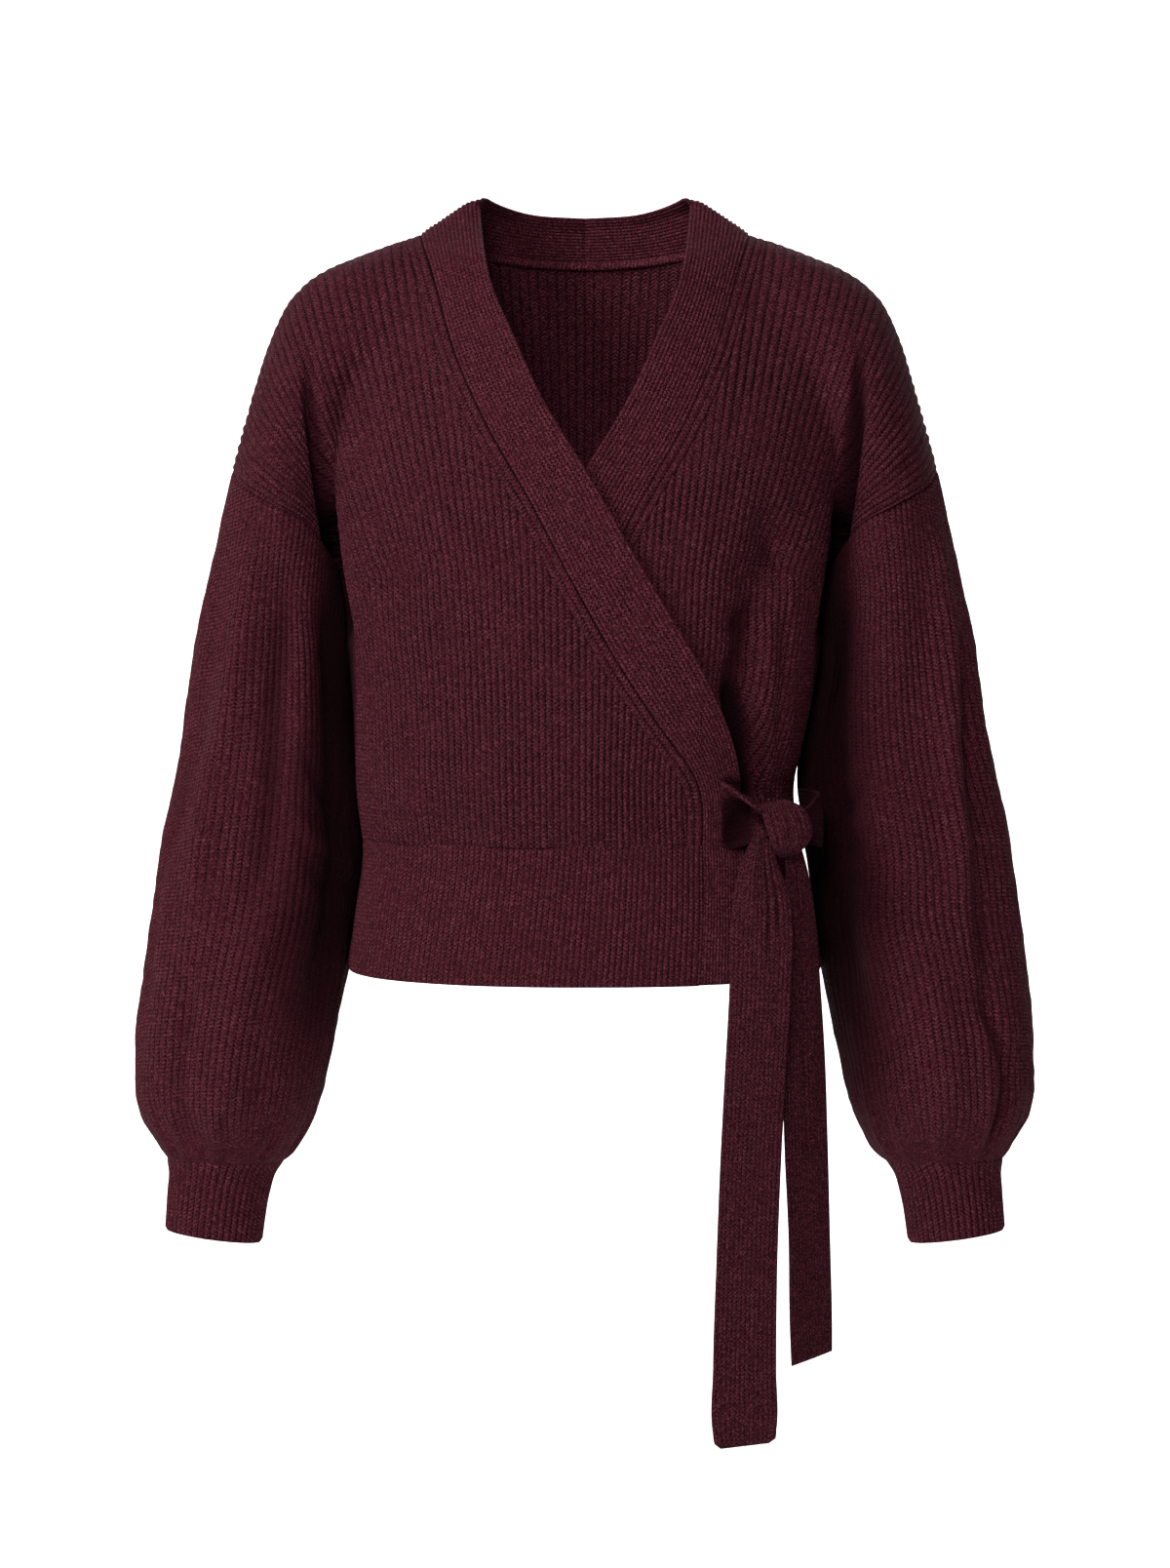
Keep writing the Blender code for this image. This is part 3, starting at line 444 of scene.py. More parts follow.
def crest_point(share):
    cloth = (CREST_X >= NECK_HALF) & (CREST_X <= ARMHOLE_TOP)
    line = np.column_stack([CREST_X[cloth], CREST_Z[cloth]])
    run = run_of(line)
    beyond = np.clip((share - NECK_SHARE) / (1 - NECK_SHARE), 0, 1) * run[-1]
    at_neck = share < NECK_SHARE
    across = np.where(at_neck, NECK_HALF * share / NECK_SHARE, np.interp(beyond, run, line[:, 0]))
    return across, np.where(at_neck, back_neck(across / NECK_HALF), np.interp(across, CREST_X, CREST_Z))


def round_body(share):
    """The side that each share of the girth lies on, and how far across and deep the section is there."""
    reach = np.abs(share)
    sections = (np.interp(reach, GIRTH_SHARE, shares) for shares in (ACROSS_SHARE, DEEP_SHARE))
    return np.where(share < 0, -1.0, 1.0), *sections


def stood_off(x, z, stand, face, level=None):
    """Points that stand off the plane Y = 0, moved out or in by what level says."""
    if level is not None:
        stand = np.maximum(stand + level(x), 0.0)
    forward = -1.0 if face == "front" else 1.0
    return np.stack([x, forward * (stand + SEAM_GAP / 2), z], axis=-1)


def body_point(share, rise, face, level=None):
    """Points on the body. Share runs from -1 at the right side seam to 1 at the left one, and rise is
    0 at the waist seam, 1 at the underarm and 2 at the crest."""
    share, rise = np.broadcast_arrays(np.asarray(share, float), np.asarray(rise, float))
    side, across, deep = round_body(share)

    waist = WAIST_HEIGHT - WAIST_DIP * deep
    low_z = waist + (UNDERARM_HEIGHT - waist) * np.clip(rise, 0, 1)
    low_x = side * across * half_width(side, low_z)
    low_deep = deep * follow(TORSO["height"], TORSO[face], low_z)

    climb = np.clip(rise - 1, 0, 1)
    end_x, end_z = crest_point(np.abs(share))
    bend = smooth((np.abs(share) - BEND_START) / (1 - BEND_START))
    straight = (1 - bend) * np.sin(climb * math.pi / 2)
    bent = (follow(ARMHOLE["rise"], ARMHOLE[name], climb) for name in ("across", "up"))
    go_across, go_up = (straight + bend * part for part in bent)
    start_x = across * half_width(side, UNDERARM_HEIGHT)
    high_x = side * (start_x + (end_x - start_x) * go_across)
    high_z = UNDERARM_HEIGHT + (end_z - UNDERARM_HEIGHT) * go_up

    low = rise <= 1
    stand = np.where(low, low_deep, depth(high_x, high_z, face))
    return stood_off(np.where(low, low_x, high_x), np.where(low, low_z, high_z), stand, face, level)


def hem_point(share, drop, face, level=None):
    """Points on the hem rib. Drop is 0 at its top and 1 at its lower edge."""
    share, drop = np.broadcast_arrays(share, drop)
    side, across, deep = round_body(share)
    top = WAIST_HEIGHT - WAIST_DIP * deep + HEM_TUCK
    z = top + (HEM_HEIGHT - HEM_DIP * deep - top) * drop
    stand = deep * follow(TORSO["height"], TORSO[face], z)
    return stood_off(side * across * half_width(side, z), z, stand, face, level)


def lap_level(side):
    """How far a front lies outside or inside the body's surface. Its side is -1 or 1."""
    lift = LAP_OVER if side < 0 else -LAP_UNDER
    return lambda x: lift * smooth((LAP_START - side * x) / (LAP_START - LAP_FULL))


def front_at(x, z, level):
    """Points on a front by where they show."""
    return stood_off(x, z, depth(x, z, "front"), "front", level)


# Relief: ribs, felt, folds and grooves.
def ribs_sunk(count, deep):
    """Relief of rounded ribs. Count is whole on each crest, and deep the drop to the furrow."""
    off = 2 * np.abs(count - np.round(count))
    return -deep * smooth((off - RIB_CREST) / (1 - RIB_CREST))


LATTICE = np.random.default_rng(7).random((64, 64, 64))


def cloud(points, size):
    """Soft noise from 0 to 1 at points, in lumps of that size."""
    at = points / size + 11.3
    cell = np.floor(at).astype(int)
    step = at - cell
    step = step * step * (3 - 2 * step)
    total = 0.0
    for corner in np.ndindex(2, 2, 2):
        weight = np.abs(1 - np.array(corner) - step).prod(axis=-1)
        near = (cell + corner) % len(LATTICE)
        total = total + weight * LATTICE[near[..., 0], near[..., 1], near[..., 2]]
    return total


def brushed(grid):
    """How clearly the ribs stand out at each point: less where the wool is felted."""
    felted = 0.6 * cloud(grid, 0.030) + 0.4 * cloud(grid, 0.011)
    return 0.45 + 0.75 * smooth((felted - 0.25) / 0.5)


def lumps(grid):
    """Unevenness of a brushed surface."""
    return 0.0010 * (cloud(grid, 0.016) - 0.5) + 0.0006 * (cloud(grid, 0.006) - 0.5)


def off_plane(grid):
    """Less relief at the shoulder and side seams, where two panels meet in the plane Y = 0."""
    return 0.3 + 0.7 * smooth(np.abs(grid[..., 1]) / 0.020)


def above_waist(grid):
    """Less relief near the waist seam, where the ribs run on into the finer ones of the hem."""
    return 0.55 + 0.45 * smooth((grid[..., 2] - grid[:, :1, 2]) / 0.030)


def pinch(distance, deep, wide=0.0022):
    """The groove where cloth is drawn in at a seam."""
    return -deep * bell(distance, wide)


def seams(grid):
    """Grooves along the waist seam, and along the side and shoulder seams, where y is 0."""
    to_waist = grid[..., 2] - grid[:, :1, 2]
    return pinch(to_waist, WAIST_GROOVE) + pinch(np.abs(grid[..., 1]), SIDE_GROOVE)


def line_fold(x, z, x0, z0, x1, z1, width, height):
    """Height of one fold at (x, z), which fades out at both ends."""
    along = np.array([x1 - x0, z1 - z0])
    length = np.linalg.norm(along)
    along = along / length
    step = ((x - x0) * along[0] + (z - z0) * along[1]) / length
    off = (x - x0) * along[1] - (z - z0) * along[0]
    off = off + 0.15 * width * np.sin(9 * step + 40 * x0)
    fade = smooth((step + 0.25) / 0.45) * smooth((1.25 - step) / 0.45)
    return height * fade * bell(off, width)


def beside_crease(x, z):
    """How far a place lies outside the crease's line, and how near it, from 0 to 1."""
    off = np.abs(x) - follow(ARM_CREASE["height"], ARM_CREASE["across"], z)
    return off, bell(off, np.where(off < 0, CREASE_CHEST, CREASE_ARM), 4)


def body_folds(grid, face):
    """Height of the folds of the body at each point of a grid."""
    x, z = grid[..., 0], grid[..., 2]
    total = 0.0006 * np.sin(61 * x + 1.0) * np.sin(47 * z + 23 * x) + lumps(grid)
    for fold_face, *fold in zip(*FOLDS.values()):
        if fold_face == (-1 if face == "front" else 1):
            total = total + line_fold(x, z, *fold)
    off, near = beside_crease(x, z)
    deep = follow(ARM_CREASE["height"], ARM_CREASE["depth"], z)
    total = total - deep * (near - CREASE_LIP * bell(off + LIP_AWAY, LIP_WIDTH))
    return total * smooth(np.abs(grid[..., 1]) / 0.015)


def painted_fold_shade(grid, folds):
    """How much shade is painted on a place of the body, from 0 to 1: how deep it lies in a fold or in the
    crease beside the arm.
    """
    x, z = grid[..., 0], grid[..., 2]
    right, left = (follow(ARM_CREASE["height"], ARM_CREASE[name], z) for name in ("right", "left"))
    in_crease = np.where(x < 0, right, left) * beside_crease(x, z)[1]
    return np.maximum(smooth((-folds - 0.0070) / 0.0110), in_crease)


def sleeve_folds(side, share, down, girth):
    """Height of the folds of a sleeve. Girth is the length round it at each row."""
    total = 0.0006 * np.sin(2 * math.pi * 3 * share + 9 * down + side) * np.sin(17 * down)
    for r0, d0, r1, d1, width, height in zip(*SLEEVE_FOLDS[side].values()):
        if abs(d1 - d0) < CROSS_FOLD:
            step = (share - r0) / (r1 - r0)
            middle = d0 + (d1 - d0) * step + 0.01 * np.sin(5 * step)
            across = (down - middle) * CROSS_LENGTH
        else:
            step = (down - d0) / (d1 - d0)
            line = r0 + (r1 - r0) * np.clip(step, -0.3, 1.3) + 0.006 * np.sin(7 * step + 50 * r0)
            across = ((share - line + 0.5) % 1 - 0.5) * girth
        fade = smooth((step + 0.2) / 0.4) * smooth((1.2 - step) / 0.4)
        total = total + height * fade * bell(across, width)
    return total


def painted_gap_shade(grid, side):
    """How much shade is painted on a place of a sleeve in the gap between the arm and the body, from 0 to 1.
    """
    off = np.maximum(side * grid[..., 0] - half_width(side, grid[..., 2]), 0.0)
    name = "right" if side < 0 else "left"
    wide, deep = (follow(ARM_GAP["height"], ARM_GAP[k], grid[..., 2]) for k in (name, "deep_" + name))
    return deep * bell(off, wide)


# From grids of points to meshes.
def grid_normals(grid, closed_along=False):
    if closed_along:
        along = np.roll(grid, -1, axis=0) - np.roll(grid, 1, axis=0)
    else:
        along = np.gradient(grid, axis=0)
    return unit(np.cross(along, np.gradient(grid, axis=1)))


def outward(grid, closed=False):
    """Normals that point away from the hollow. Where a panel meets the plane Y = 0 they lie in it."""
    normals = grid_normals(grid, closed)
    if (normals * (grid - grid.mean(axis=(0, 1)))).sum() < 0:
        normals = -normals
    if not closed:
        normals[..., 1] = np.where(np.abs(grid[..., 1]) < SEAM_GAP, 0.0, normals[..., 1])
    return unit(normals)


def quads(columns, rows, closed_along, closed_across, start=0):
    i = np.arange(columns if closed_along else columns - 1)
    j = np.arange(rows if closed_across else rows - 1)
    i, j = (places.ravel() for places in np.meshgrid(i, j, indexing="ij"))
    k, m = (i + 1) % columns, (j + 1) % rows
    return start + np.column_stack([i * rows + j, k * rows + j, k * rows + m, i * rows + m])


def bridge(outer, inner, kept):
    """Triangles between a line of points and a coarser one behind it. Kept says which points of the
    first the second has."""
    faces = []
    for step in range(len(kept) - 1):
        first, last = kept[step], kept[step + 1]
        half = first + (last - first + 1) // 2
        for at in range(first, last):
            faces.append((outer[at], outer[at + 1], inner[step if at < half else step + 1]))
        faces.append((inner[step], outer[half], inner[step + 1]))
    return faces


def spread(count, step):
    return list(range(0, count - 1, step)) + [count - 1]


def put_mesh(name, node, points, faces, marks, look, painted_shade, wrap):
    """A piece from points, faces and one (rib, stitch) mark a point, which its knit follows. It stands for
    the node, if any. The painted shade says from 0 to 1 how far the colour of each point is darkened where
    it lies deep in a fold, a crease or a gap, and wrap how many ribs and stitches a closed ring has in all."""
    mesh = bpy.data.meshes.new(name)
    mesh.from_pydata(points.tolist(), [], faces)
    loops = np.empty(len(mesh.loops), np.int32)
    mesh.loops.foreach_get("vertex_index", loops)
    at = marks[loops]
    totals = np.empty(len(mesh.polygons), np.int32)
    mesh.polygons.foreach_get("loop_total", totals)
    owner = np.repeat(np.arange(len(totals)), totals)
    for k in range(2):
        if wrap[k]:
            high = np.full(len(totals), -np.inf)
            np.maximum.at(high, owner, at[:, k])
            span = marks[:, k].max() - marks[:, k].min()
            at[:, k] += np.where(high[owner] - at[:, k] > 0.6 * span, wrap[k], 0.0)
    mesh.uv_layers.new(name="knit").data.foreach_set("uv", at.astype(np.float32).ravel())
    # Painted shade, kept on each point for the material to darken the wool's colour with.
    if painted_shade is not None:
        layer = mesh.attributes.new("painted_shade", "FLOAT", "POINT")
        layer.data.foreach_set("value", painted_shade.astype(np.float32).ravel())
    mesh.shade_smooth()
    mesh.materials.append(LOOKS[look])
    piece = bpy.data.objects.new(name, mesh)
    bpy.context.scene.collection.objects.link(piece)
    shape = bmesh.new()
    shape.from_mesh(mesh)
    bmesh.ops.recalc_face_normals(shape, faces=shape.faces)
    shape.to_mesh(mesh)
    shape.free()
    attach(piece, "root")
    if node:
        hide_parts(node)
    return piece


def marks_of(ribs, stitched):
    return np.stack(np.broadcast_arrays(ribs, stitched), axis=-1)


def stitches(grid):
    """Number of stitches from the first row to each point, on the mean of the columns."""
    steps = np.linalg.norm(np.diff(grid, axis=1), axis=-1)
    run = np.concatenate([np.zeros((len(grid), 1)), np.cumsum(steps, axis=1)], axis=1)
    return run / STITCH


def wall(name, node, grid, normals, relief, inner_relief, ribs, look, painted_shade, closed=False):
    """A shell of cloth. Ribs numbers the columns, and the inner face is coarser than the outer one."""
    columns, rows = grid.shape[:2]
    kept = list(range(0, columns, INNER_COLUMNS)) if closed else spread(columns, INNER_COLUMNS)
    kept_rows = spread(rows, INNER_ROWS)
    coarse = np.ix_(kept, kept_rows)

    def with_inner(values, inner_values):
        shape = (-1,) + values.shape[2:]
        return np.concatenate([values.reshape(shape), inner_values[coarse].reshape(shape)])

    marks = marks_of(ribs[:, None], stitches(grid))
    inner = grid + normals * (inner_relief - CLOTH)[..., None]
    count, inner_shape = columns * rows, (len(kept), len(kept_rows))
    faces = quads(columns, rows, closed, False).tolist()
    faces += quads(*inner_shape, closed, False, count)[:, ::-1].tolist()
    number = np.arange(count).reshape(columns, rows)
    behind = count + np.arange(inner_shape[0] * inner_shape[1]).reshape(inner_shape)
    for row in (0, -1):
        if closed:
            ring, inner_ring = (np.append(line[:, row], line[0, row]) for line in (number, behind))
            faces += bridge(ring, inner_ring, kept + [columns])
        else:
            faces += bridge(number[:, row], behind[:, row], kept)
    if not closed:
        for column in (0, -1):
            faces += bridge(number[column], behind[column], kept_rows)
    points = with_inner(grid + normals * relief[..., None], inner)
    wrap = (float(ribs[-1] - ribs[0] + ribs[1] - ribs[0]) if closed else 0.0, 0.0)
    all_marks = with_inner(marks, marks + (0.5, 0.0))
    return put_mesh(name, node, points, faces, all_marks, look, with_inner(painted_shade, painted_shade), wrap)


def loop_of_cloth(name, node, front, behind, marks, look, painted_shade=None, wrap=(0.0, 0.0)):
    """A piece from its two faces, rounded into each other. Its ends are closed flat, unless it wraps."""
    grid = np.concatenate([front, behind[:, ::-1]], axis=1)
    columns, rows = grid.shape[:2]
    closed = any(wrap)
    faces = quads(columns, rows, closed, True).tolist()
    if not closed:
        for column in (0, columns - 1):
            start, last = column * rows, column * rows + rows - 1
            for j in range(rows // 2 - 1):
                faces.append((start + j, start + j + 1, last - j - 1, last - j))
    return put_mesh(name, node, grid.reshape(-1, 3), faces, marks.reshape(-1, 2), look, painted_shade, wrap)


def flat_profile(ribs, thick, deep):
    """Points across both faces of a flat band: places from 0 to 1, heights and rib counts."""
    place = np.linspace(0, 1, ribs * FINE["flat"] + 1)
    edge = np.clip(1 - (2 * np.abs(place - 0.5)) ** 14, 0.0, 1.0) ** 0.5
    count = place * ribs - 0.5
    return place, thick / 2 * edge + ribs_sunk(count, deep) * edge, count


def flat_marks(count, at):
    return marks_of(np.concatenate([count, count[::-1]])[None, :], (at / STITCH)[:, None])


# Body panels.
def panel_rows():
    """Rises of the rows of a panel, up to the underarm and above it."""
    low = np.linspace(0, 1, ROWS["low"], endpoint=False)
    return np.concatenate([low, np.linspace(1, 2, ROWS["high"])])[None, :]


def body_panel(name, node, grid, ribs, face, more_relief=0.0, inner_relief=0.0):
    folds = body_folds(grid, face) + seams(grid) + more_relief
    # Painted shade in the folds and the crease beside the arm; the ribs are also flattened there.
    painted_shade = painted_fold_shade(grid, folds)
    clear = brushed(grid) * off_plane(grid) * (1 - painted_shade) * above_waist(grid)
    relief = ribs_sunk(ribs, RELIEF["body"])[:, None] * clear + folds
    inner = folds + ribs_sunk(ribs, inner_relief)[:, None]
    return wall(name, node, grid, outward(grid), relief, inner, ribs, "body", painted_shade)


def build_back():
    share = np.linspace(-1, 1, 2 * BODY_RIBS * FINE["body"] + 1)
    grid = body_point(share[:, None], panel_rows(), "back")
    return body_panel("back_panel", "back", grid, share * BODY_RIBS, "back", inner_relief=-INNER_RELIEF)


def edge_line(name, height):
    return follow(-FRONT_EDGE["seam_height"], FRONT_EDGE[name], -height)


def seam_line(height):
    return edge_line("seam_across", height)


def beyond_strip(reach, height, distance):
    """How far out from the neckband's seam a place lies, beyond a line at that distance beside it."""
    slope = (seam_line(height + 1e-3) - seam_line(height - 1e-3)) / 2e-3
    return reach - seam_line(height) - distance * np.sqrt(1 + slope**2)


def girth_share(across):
    return float(np.sign(across) * np.interp(abs(across), ACROSS_SHARE, GIRTH_SHARE))


def slope_rise(share, side):
    """How far up a rib of a front reaches before the strip of ribs beside the neckband."""
    rises = np.linspace(0.0, 2.0, 401)
    path = body_point(side * share, rises, "front")
    crossed = np.nonzero(beyond_strip(side * path[:, 0], path[:, 2], STRIP_WIDTH - 0.004) < 0)[0]
    return rises[crossed[0]] if len(crossed) else 2.0


def build_front(name, node, side):
    end = girth_share((seam_line(SLOPE_END) + 0.008) / half_width(-side, SLOPE_END))
    ribs = round((1 - end) * BODY_RIBS)
    share = np.linspace(1, end, ribs * FINE["body"] + 1)
    reach = np.maximum([slope_rise(one, side) for one in share], 0.06)
    rise = panel_rows() * reach[:, None] / 2
    grid = body_point(side * share[:, None], rise, "front", lap_level(side))
    beside = beyond_strip(side * grid[..., 0], grid[..., 2], STRIP_WIDTH)
    under_strip = -0.0011 * smooth(0.5 - beside / 0.003)
    return body_panel(name, node, grid, (1 - share) / (1 - end) * ribs, "front", under_strip)


def build_strip(name, side):
    """The ribs that run beside the neckband, from the shoulder to the waist seam."""
    height = np.linspace(NECK_HEIGHT, WAIST_HEIGHT - 0.0028, ROWS["strip"])
    seam = np.column_stack([seam_line(height), height])
    along = unit(np.gradient(seam, axis=0))
    beside = np.column_stack([-along[:, 1], along[:, 0]])
    off = np.linspace(0, STRIP_WIDTH, STRIP_RIBS * FINE["strip"] + 1)
    place = seam[:, None, :] + beside[:, None, :] * off[None, :, None]
    x, z = place[..., 0], place[..., 1]
    z = np.minimum(z, np.interp(x, CREST_X, CREST_Z) - 1e-5)
    z = np.maximum(z, WAIST_HEIGHT - WAIST_DIP)
    grid = front_at(side * x, z, lap_level(side)).transpose(1, 0, 2)
    count = off / STRIP_WIDTH * STRIP_RIBS + 0.5
    folds = body_folds(grid, "front")
    relief = ribs_sunk(count, RELIEF["strip"])[:, None] * brushed(grid) * off_plane(grid) + folds
    relief = relief + pinch(grid[..., 2] - grid[:, -1:, 2], WAIST_GROOVE) + pinch(grid[..., 1], SIDE_GROOVE)
    # The last argument paints shade into the strip's folds.
    return wall(name, None, grid, outward(grid), relief, folds, count, "body", painted_fold_shade(grid, folds))


# Hem rib, sleeves and cuffs.
def rib_piece(name, node, grid, normals, count, relief, grooves, to_edge, wrap=(0.0, 0.0)):
    """A rib with furrows on both faces and a rounded lower edge."""
    half = CLOTH / 2 * np.clip(1 - (1 - np.clip(to_edge / EDGE_ROUND, 0, 1)) ** 2, 0, 1) ** 0.5
    middle = -CLOTH / 2 + grooves + lumps(grid) / 4
    under = ribs_sunk(count + 0.5, INNER_RELIEF)[:, None] * smooth(to_edge / 0.004)
    front = grid + normals * (middle + half + relief)[..., None]
    behind = grid + normals * (middle - half - under)[..., None]
    run = stitches(grid)
    marks = marks_of(count[:, None], np.hstack([run, run[:, ::-1]]))
    return loop_of_cloth(name, node, front, behind, marks, "hem", wrap=wrap)


def build_hem(name, node, face, shares, count, level=None):
    """Shares gives each column's share at the top and at the lower edge."""
    drop = np.linspace(0, 1, ROWS["hem"])
    grid = hem_point(shares[:, :1] + (shares[:, 1:] - shares[:, :1]) * drop, drop[None, :], face, level)
    normals = outward(grid)
    normals[:, -1] = unit(normals[:, -1] * (1, 1, 0))
    to_top, to_edge = grid[:, :1, 2] - grid[..., 2], grid[..., 2] - grid[:, -1:, 2]
    relief = ribs_sunk(count, RELIEF["hem"])[:, None] * smooth((to_top + 0.001) / 0.004)
    grooves = pinch(to_top, HEM_GROOVE) + pinch(np.abs(grid[..., 1]), SIDE_GROOVE)
    return rib_piece(name, node, grid, normals, count, relief, grooves, to_edge)


def build_hems():
    share = np.linspace(-1, 1, 2 * HEM_RIBS * FINE["hem"] + 1)
    pieces = [build_hem("hem_rib_back", "hem_back", "back", share[:, None].repeat(2, 1), share * HEM_RIBS)]
    for name, side in (("right_front", -1), ("left_front", 1)):
        heights = (WAIST_HEIGHT - WAIST_DIP, HEM_HEIGHT - HEM_DIP)
        end = np.array([girth_share(seam_line(z) / half_width(-side, z)) for z in heights])
        ribs = round((1 - end[0]) * HEM_RIBS)
        along = np.linspace(0, 1, ribs * FINE["hem"] + 1)
        shares = side * (1 + (end[None, :] - 1) * along[:, None])
        level = lap_level(side)
        pieces.append(build_hem("hem_rib_" + name, "hem_" + name, "front", shares, along * ribs, level))
    return pieces


def body_side(y, z, side):
    """How far the side of the body reaches from the centre at (y, z), below the underarm."""
    front, back = (follow(TORSO["height"], TORSO[face], z) for face in ("front", "back"))
    near = np.abs(y) / np.where(y < 0, front, back)
    round_off = np.clip(1 - near**SQUARENESS, 0, 1) ** (1 / SQUARENESS)
    return np.where(z < UNDERARM_HEIGHT, half_width(side, z) * round_off, 0.0)


def sections_of(rows, share, side):
    """Points round each section of a sleeve or cuff. Share is 0 at its inner end, 0.25 in front."""
    turn = 2 * math.pi * share
    sections = []
    for values in zip(*rows.values()):
        row = dict(zip(rows, values))
        inner = np.array([row["inner_right" if side < 0 else "inner_left"], row["inner_z"]])
        outer = np.array([row["outer_x"], row["outer_z"]])
        place = (inner + outer) / 2 + (inner - outer) / 2 * np.cos(turn)[:, None]
        y = row["behind"] + np.where(np.sin(turn) > 0, -row["front"], row["back"]) * np.abs(np.sin(turn))
        clear = BODY_CLEAR + (TOP_CLEAR - BODY_CLEAR) * smooth((row["inner_z"] + 0.300) / 0.030)
        x = np.maximum(place[:, 0], body_side(y, place[:, 1], side) + clear)
        sections.append(np.column_stack([side * x, y, place[:, 1]]))
    return sections


def armhole_ring(side, share):
    """Points and normals on the armhole rim, from the underarm over the front, the top and behind."""
    rise = np.linspace(1, 2, 120)
    near = side * np.array([0.97, 1.0])
    lines, outs = [], []
    for face in ("front", "back"):
        level = lap_level(side) if face == "front" else None
        strip = body_point(near[:, None], rise[None, :], face, level)
        lines.append(strip[1])
        outs.append(rim_normals(strip))
    points = np.concatenate([lines[0], lines[1][::-1]])
    normals = np.concatenate([outs[0], outs[1][::-1]])
    run = run_of(points)
    half = run[len(points) // 2]
    at = np.where(share < 0.5, share * 2 * half, half + (share * 2 - 1) * (run[-1] - half))
    return read_line(at, run, points), unit(read_line(at, run, normals))


def rim_normals(strip):
    """Normals along the second of two columns, away from the middle of the arm."""
    rim = strip[1]
    normals = unit(np.cross(rim - strip[0], np.gradient(rim, axis=0)))
    middle = np.array([rim[:, 0].mean(), 0.0, rim[:, 2].mean()])
    normals = normals * np.sign(((rim - middle) * normals)[:, 1].sum())
    normals[:, 1] = np.where(np.abs(rim[:, 1]) < SEAM_GAP, 0.0, normals[:, 1])
    return unit(normals)


def build_sleeve(name, node, side):
    share = np.arange(SLEEVE_RIBS * FINE["sleeve"]) / (SLEEVE_RIBS * FINE["sleeve"])
    first, rim = armhole_ring(side, share)
    near_underarm = smooth(1 - np.minimum(share, 1 - share) / 0.10)[:, None]
    sections = sections_of(SLEEVE, share, side)
    first = first + np.array([side * -0.0012, 0.0, -0.0003]) * near_underarm
    first = first + unit(sections[0] - first) * SEAM_GAP
    stations = np.stack([first] + sections)
    knots = run_of(stations.mean(axis=1))
    down = np.linspace(0, 1, ROWS["sleeve"])
    down = down + 0.018 * np.sin(2 * math.pi * down)
    grid = follow(knots / knots[-1], stations, down).transpose(1, 0, 2)
    rim = unit(rim * (1 - near_underarm) + np.array([-side, 0.0, 0.0]) * near_underarm)
    blend = smooth(1 - down / 0.05)[None, :, None]
    normals = unit(outward(grid, closed=True) * (1 - blend) + rim[:, None, :] * blend)

    girth = np.linalg.norm(np.roll(grid, -1, axis=0) - grid, axis=-1).sum(axis=0)[None, :]
    ribs, share, down = share * SLEEVE_RIBS, share[:, None], down[None, :]
    inside = smooth((down - 0.02) / 0.10) * smooth((1.0 - down) / 0.05)
    folds = sleeve_folds(side, share, down, girth) * inside
    turn = 2 * math.pi * share
    gathers = 0.55 * np.sin(13 * turn + side) + 0.45 * np.sin(21 * turn + 2.1 * side)
    gathers = gathers * GATHERS * smooth((down - 0.86) / 0.10) * smooth((1.0 - down) / 0.02)
    felted = brushed(grid) * (1 - 0.75 * smooth((down - 0.84) / 0.12))
    relief = ribs_sunk(ribs, RELIEF["sleeve"])[:, None] * felted + folds + gathers
    relief = relief + lumps(grid) * inside * 1.3
    relief = relief + pinch(down * SLEEVE_LENGTH, ARMHOLE_GROOVE, 0.003)
    relief = relief - 0.0015 * smooth((down - 0.985) / 0.015)
    # Painted shade in the gap beside the body, and half as much in the sleeve's deeper folds.
    painted_shade = np.maximum(painted_gap_shade(grid, side), 0.5 * smooth((-folds - 0.002) / 0.008))
    return wall(name, node, grid, normals, relief, folds + gathers, ribs, "sleeve", painted_shade, closed=True)


def build_cuff(name, node, side):
    share = np.arange(CUFF_RIBS * FINE["cuff"]) / (CUFF_RIBS * FINE["cuff"])
    sections = np.stack(sections_of(CUFF, share, side))
    down = np.linspace(0, 1, ROWS["cuff"])
    knots = run_of(sections.mean(axis=1))
    grid = follow(knots / knots[-1], sections, down).transpose(1, 0, 2)
    count, length = share * CUFF_RIBS, down[None, :] * CUFF_LENGTH
    relief = ribs_sunk(count, RELIEF["cuff"])[:, None] * smooth((length + 0.001) / 0.008)
    grooves, to_edge = pinch(length, CUFF_GROOVE, 0.003), length[:, -1:] - length
    normals = outward(grid, closed=True)
    return rib_piece(name, node, grid, normals, count, relief, grooves, to_edge, (float(CUFF_RIBS), 0.0))


# Neckband.
def eased(line, rounds):
    """The same line with its corners rounded."""
    for _ in range(rounds):
        line = np.vstack([line[:1], (line[:-2] + 2 * line[1:-1] + line[2:]) / 4, line[-1:]])
    return line


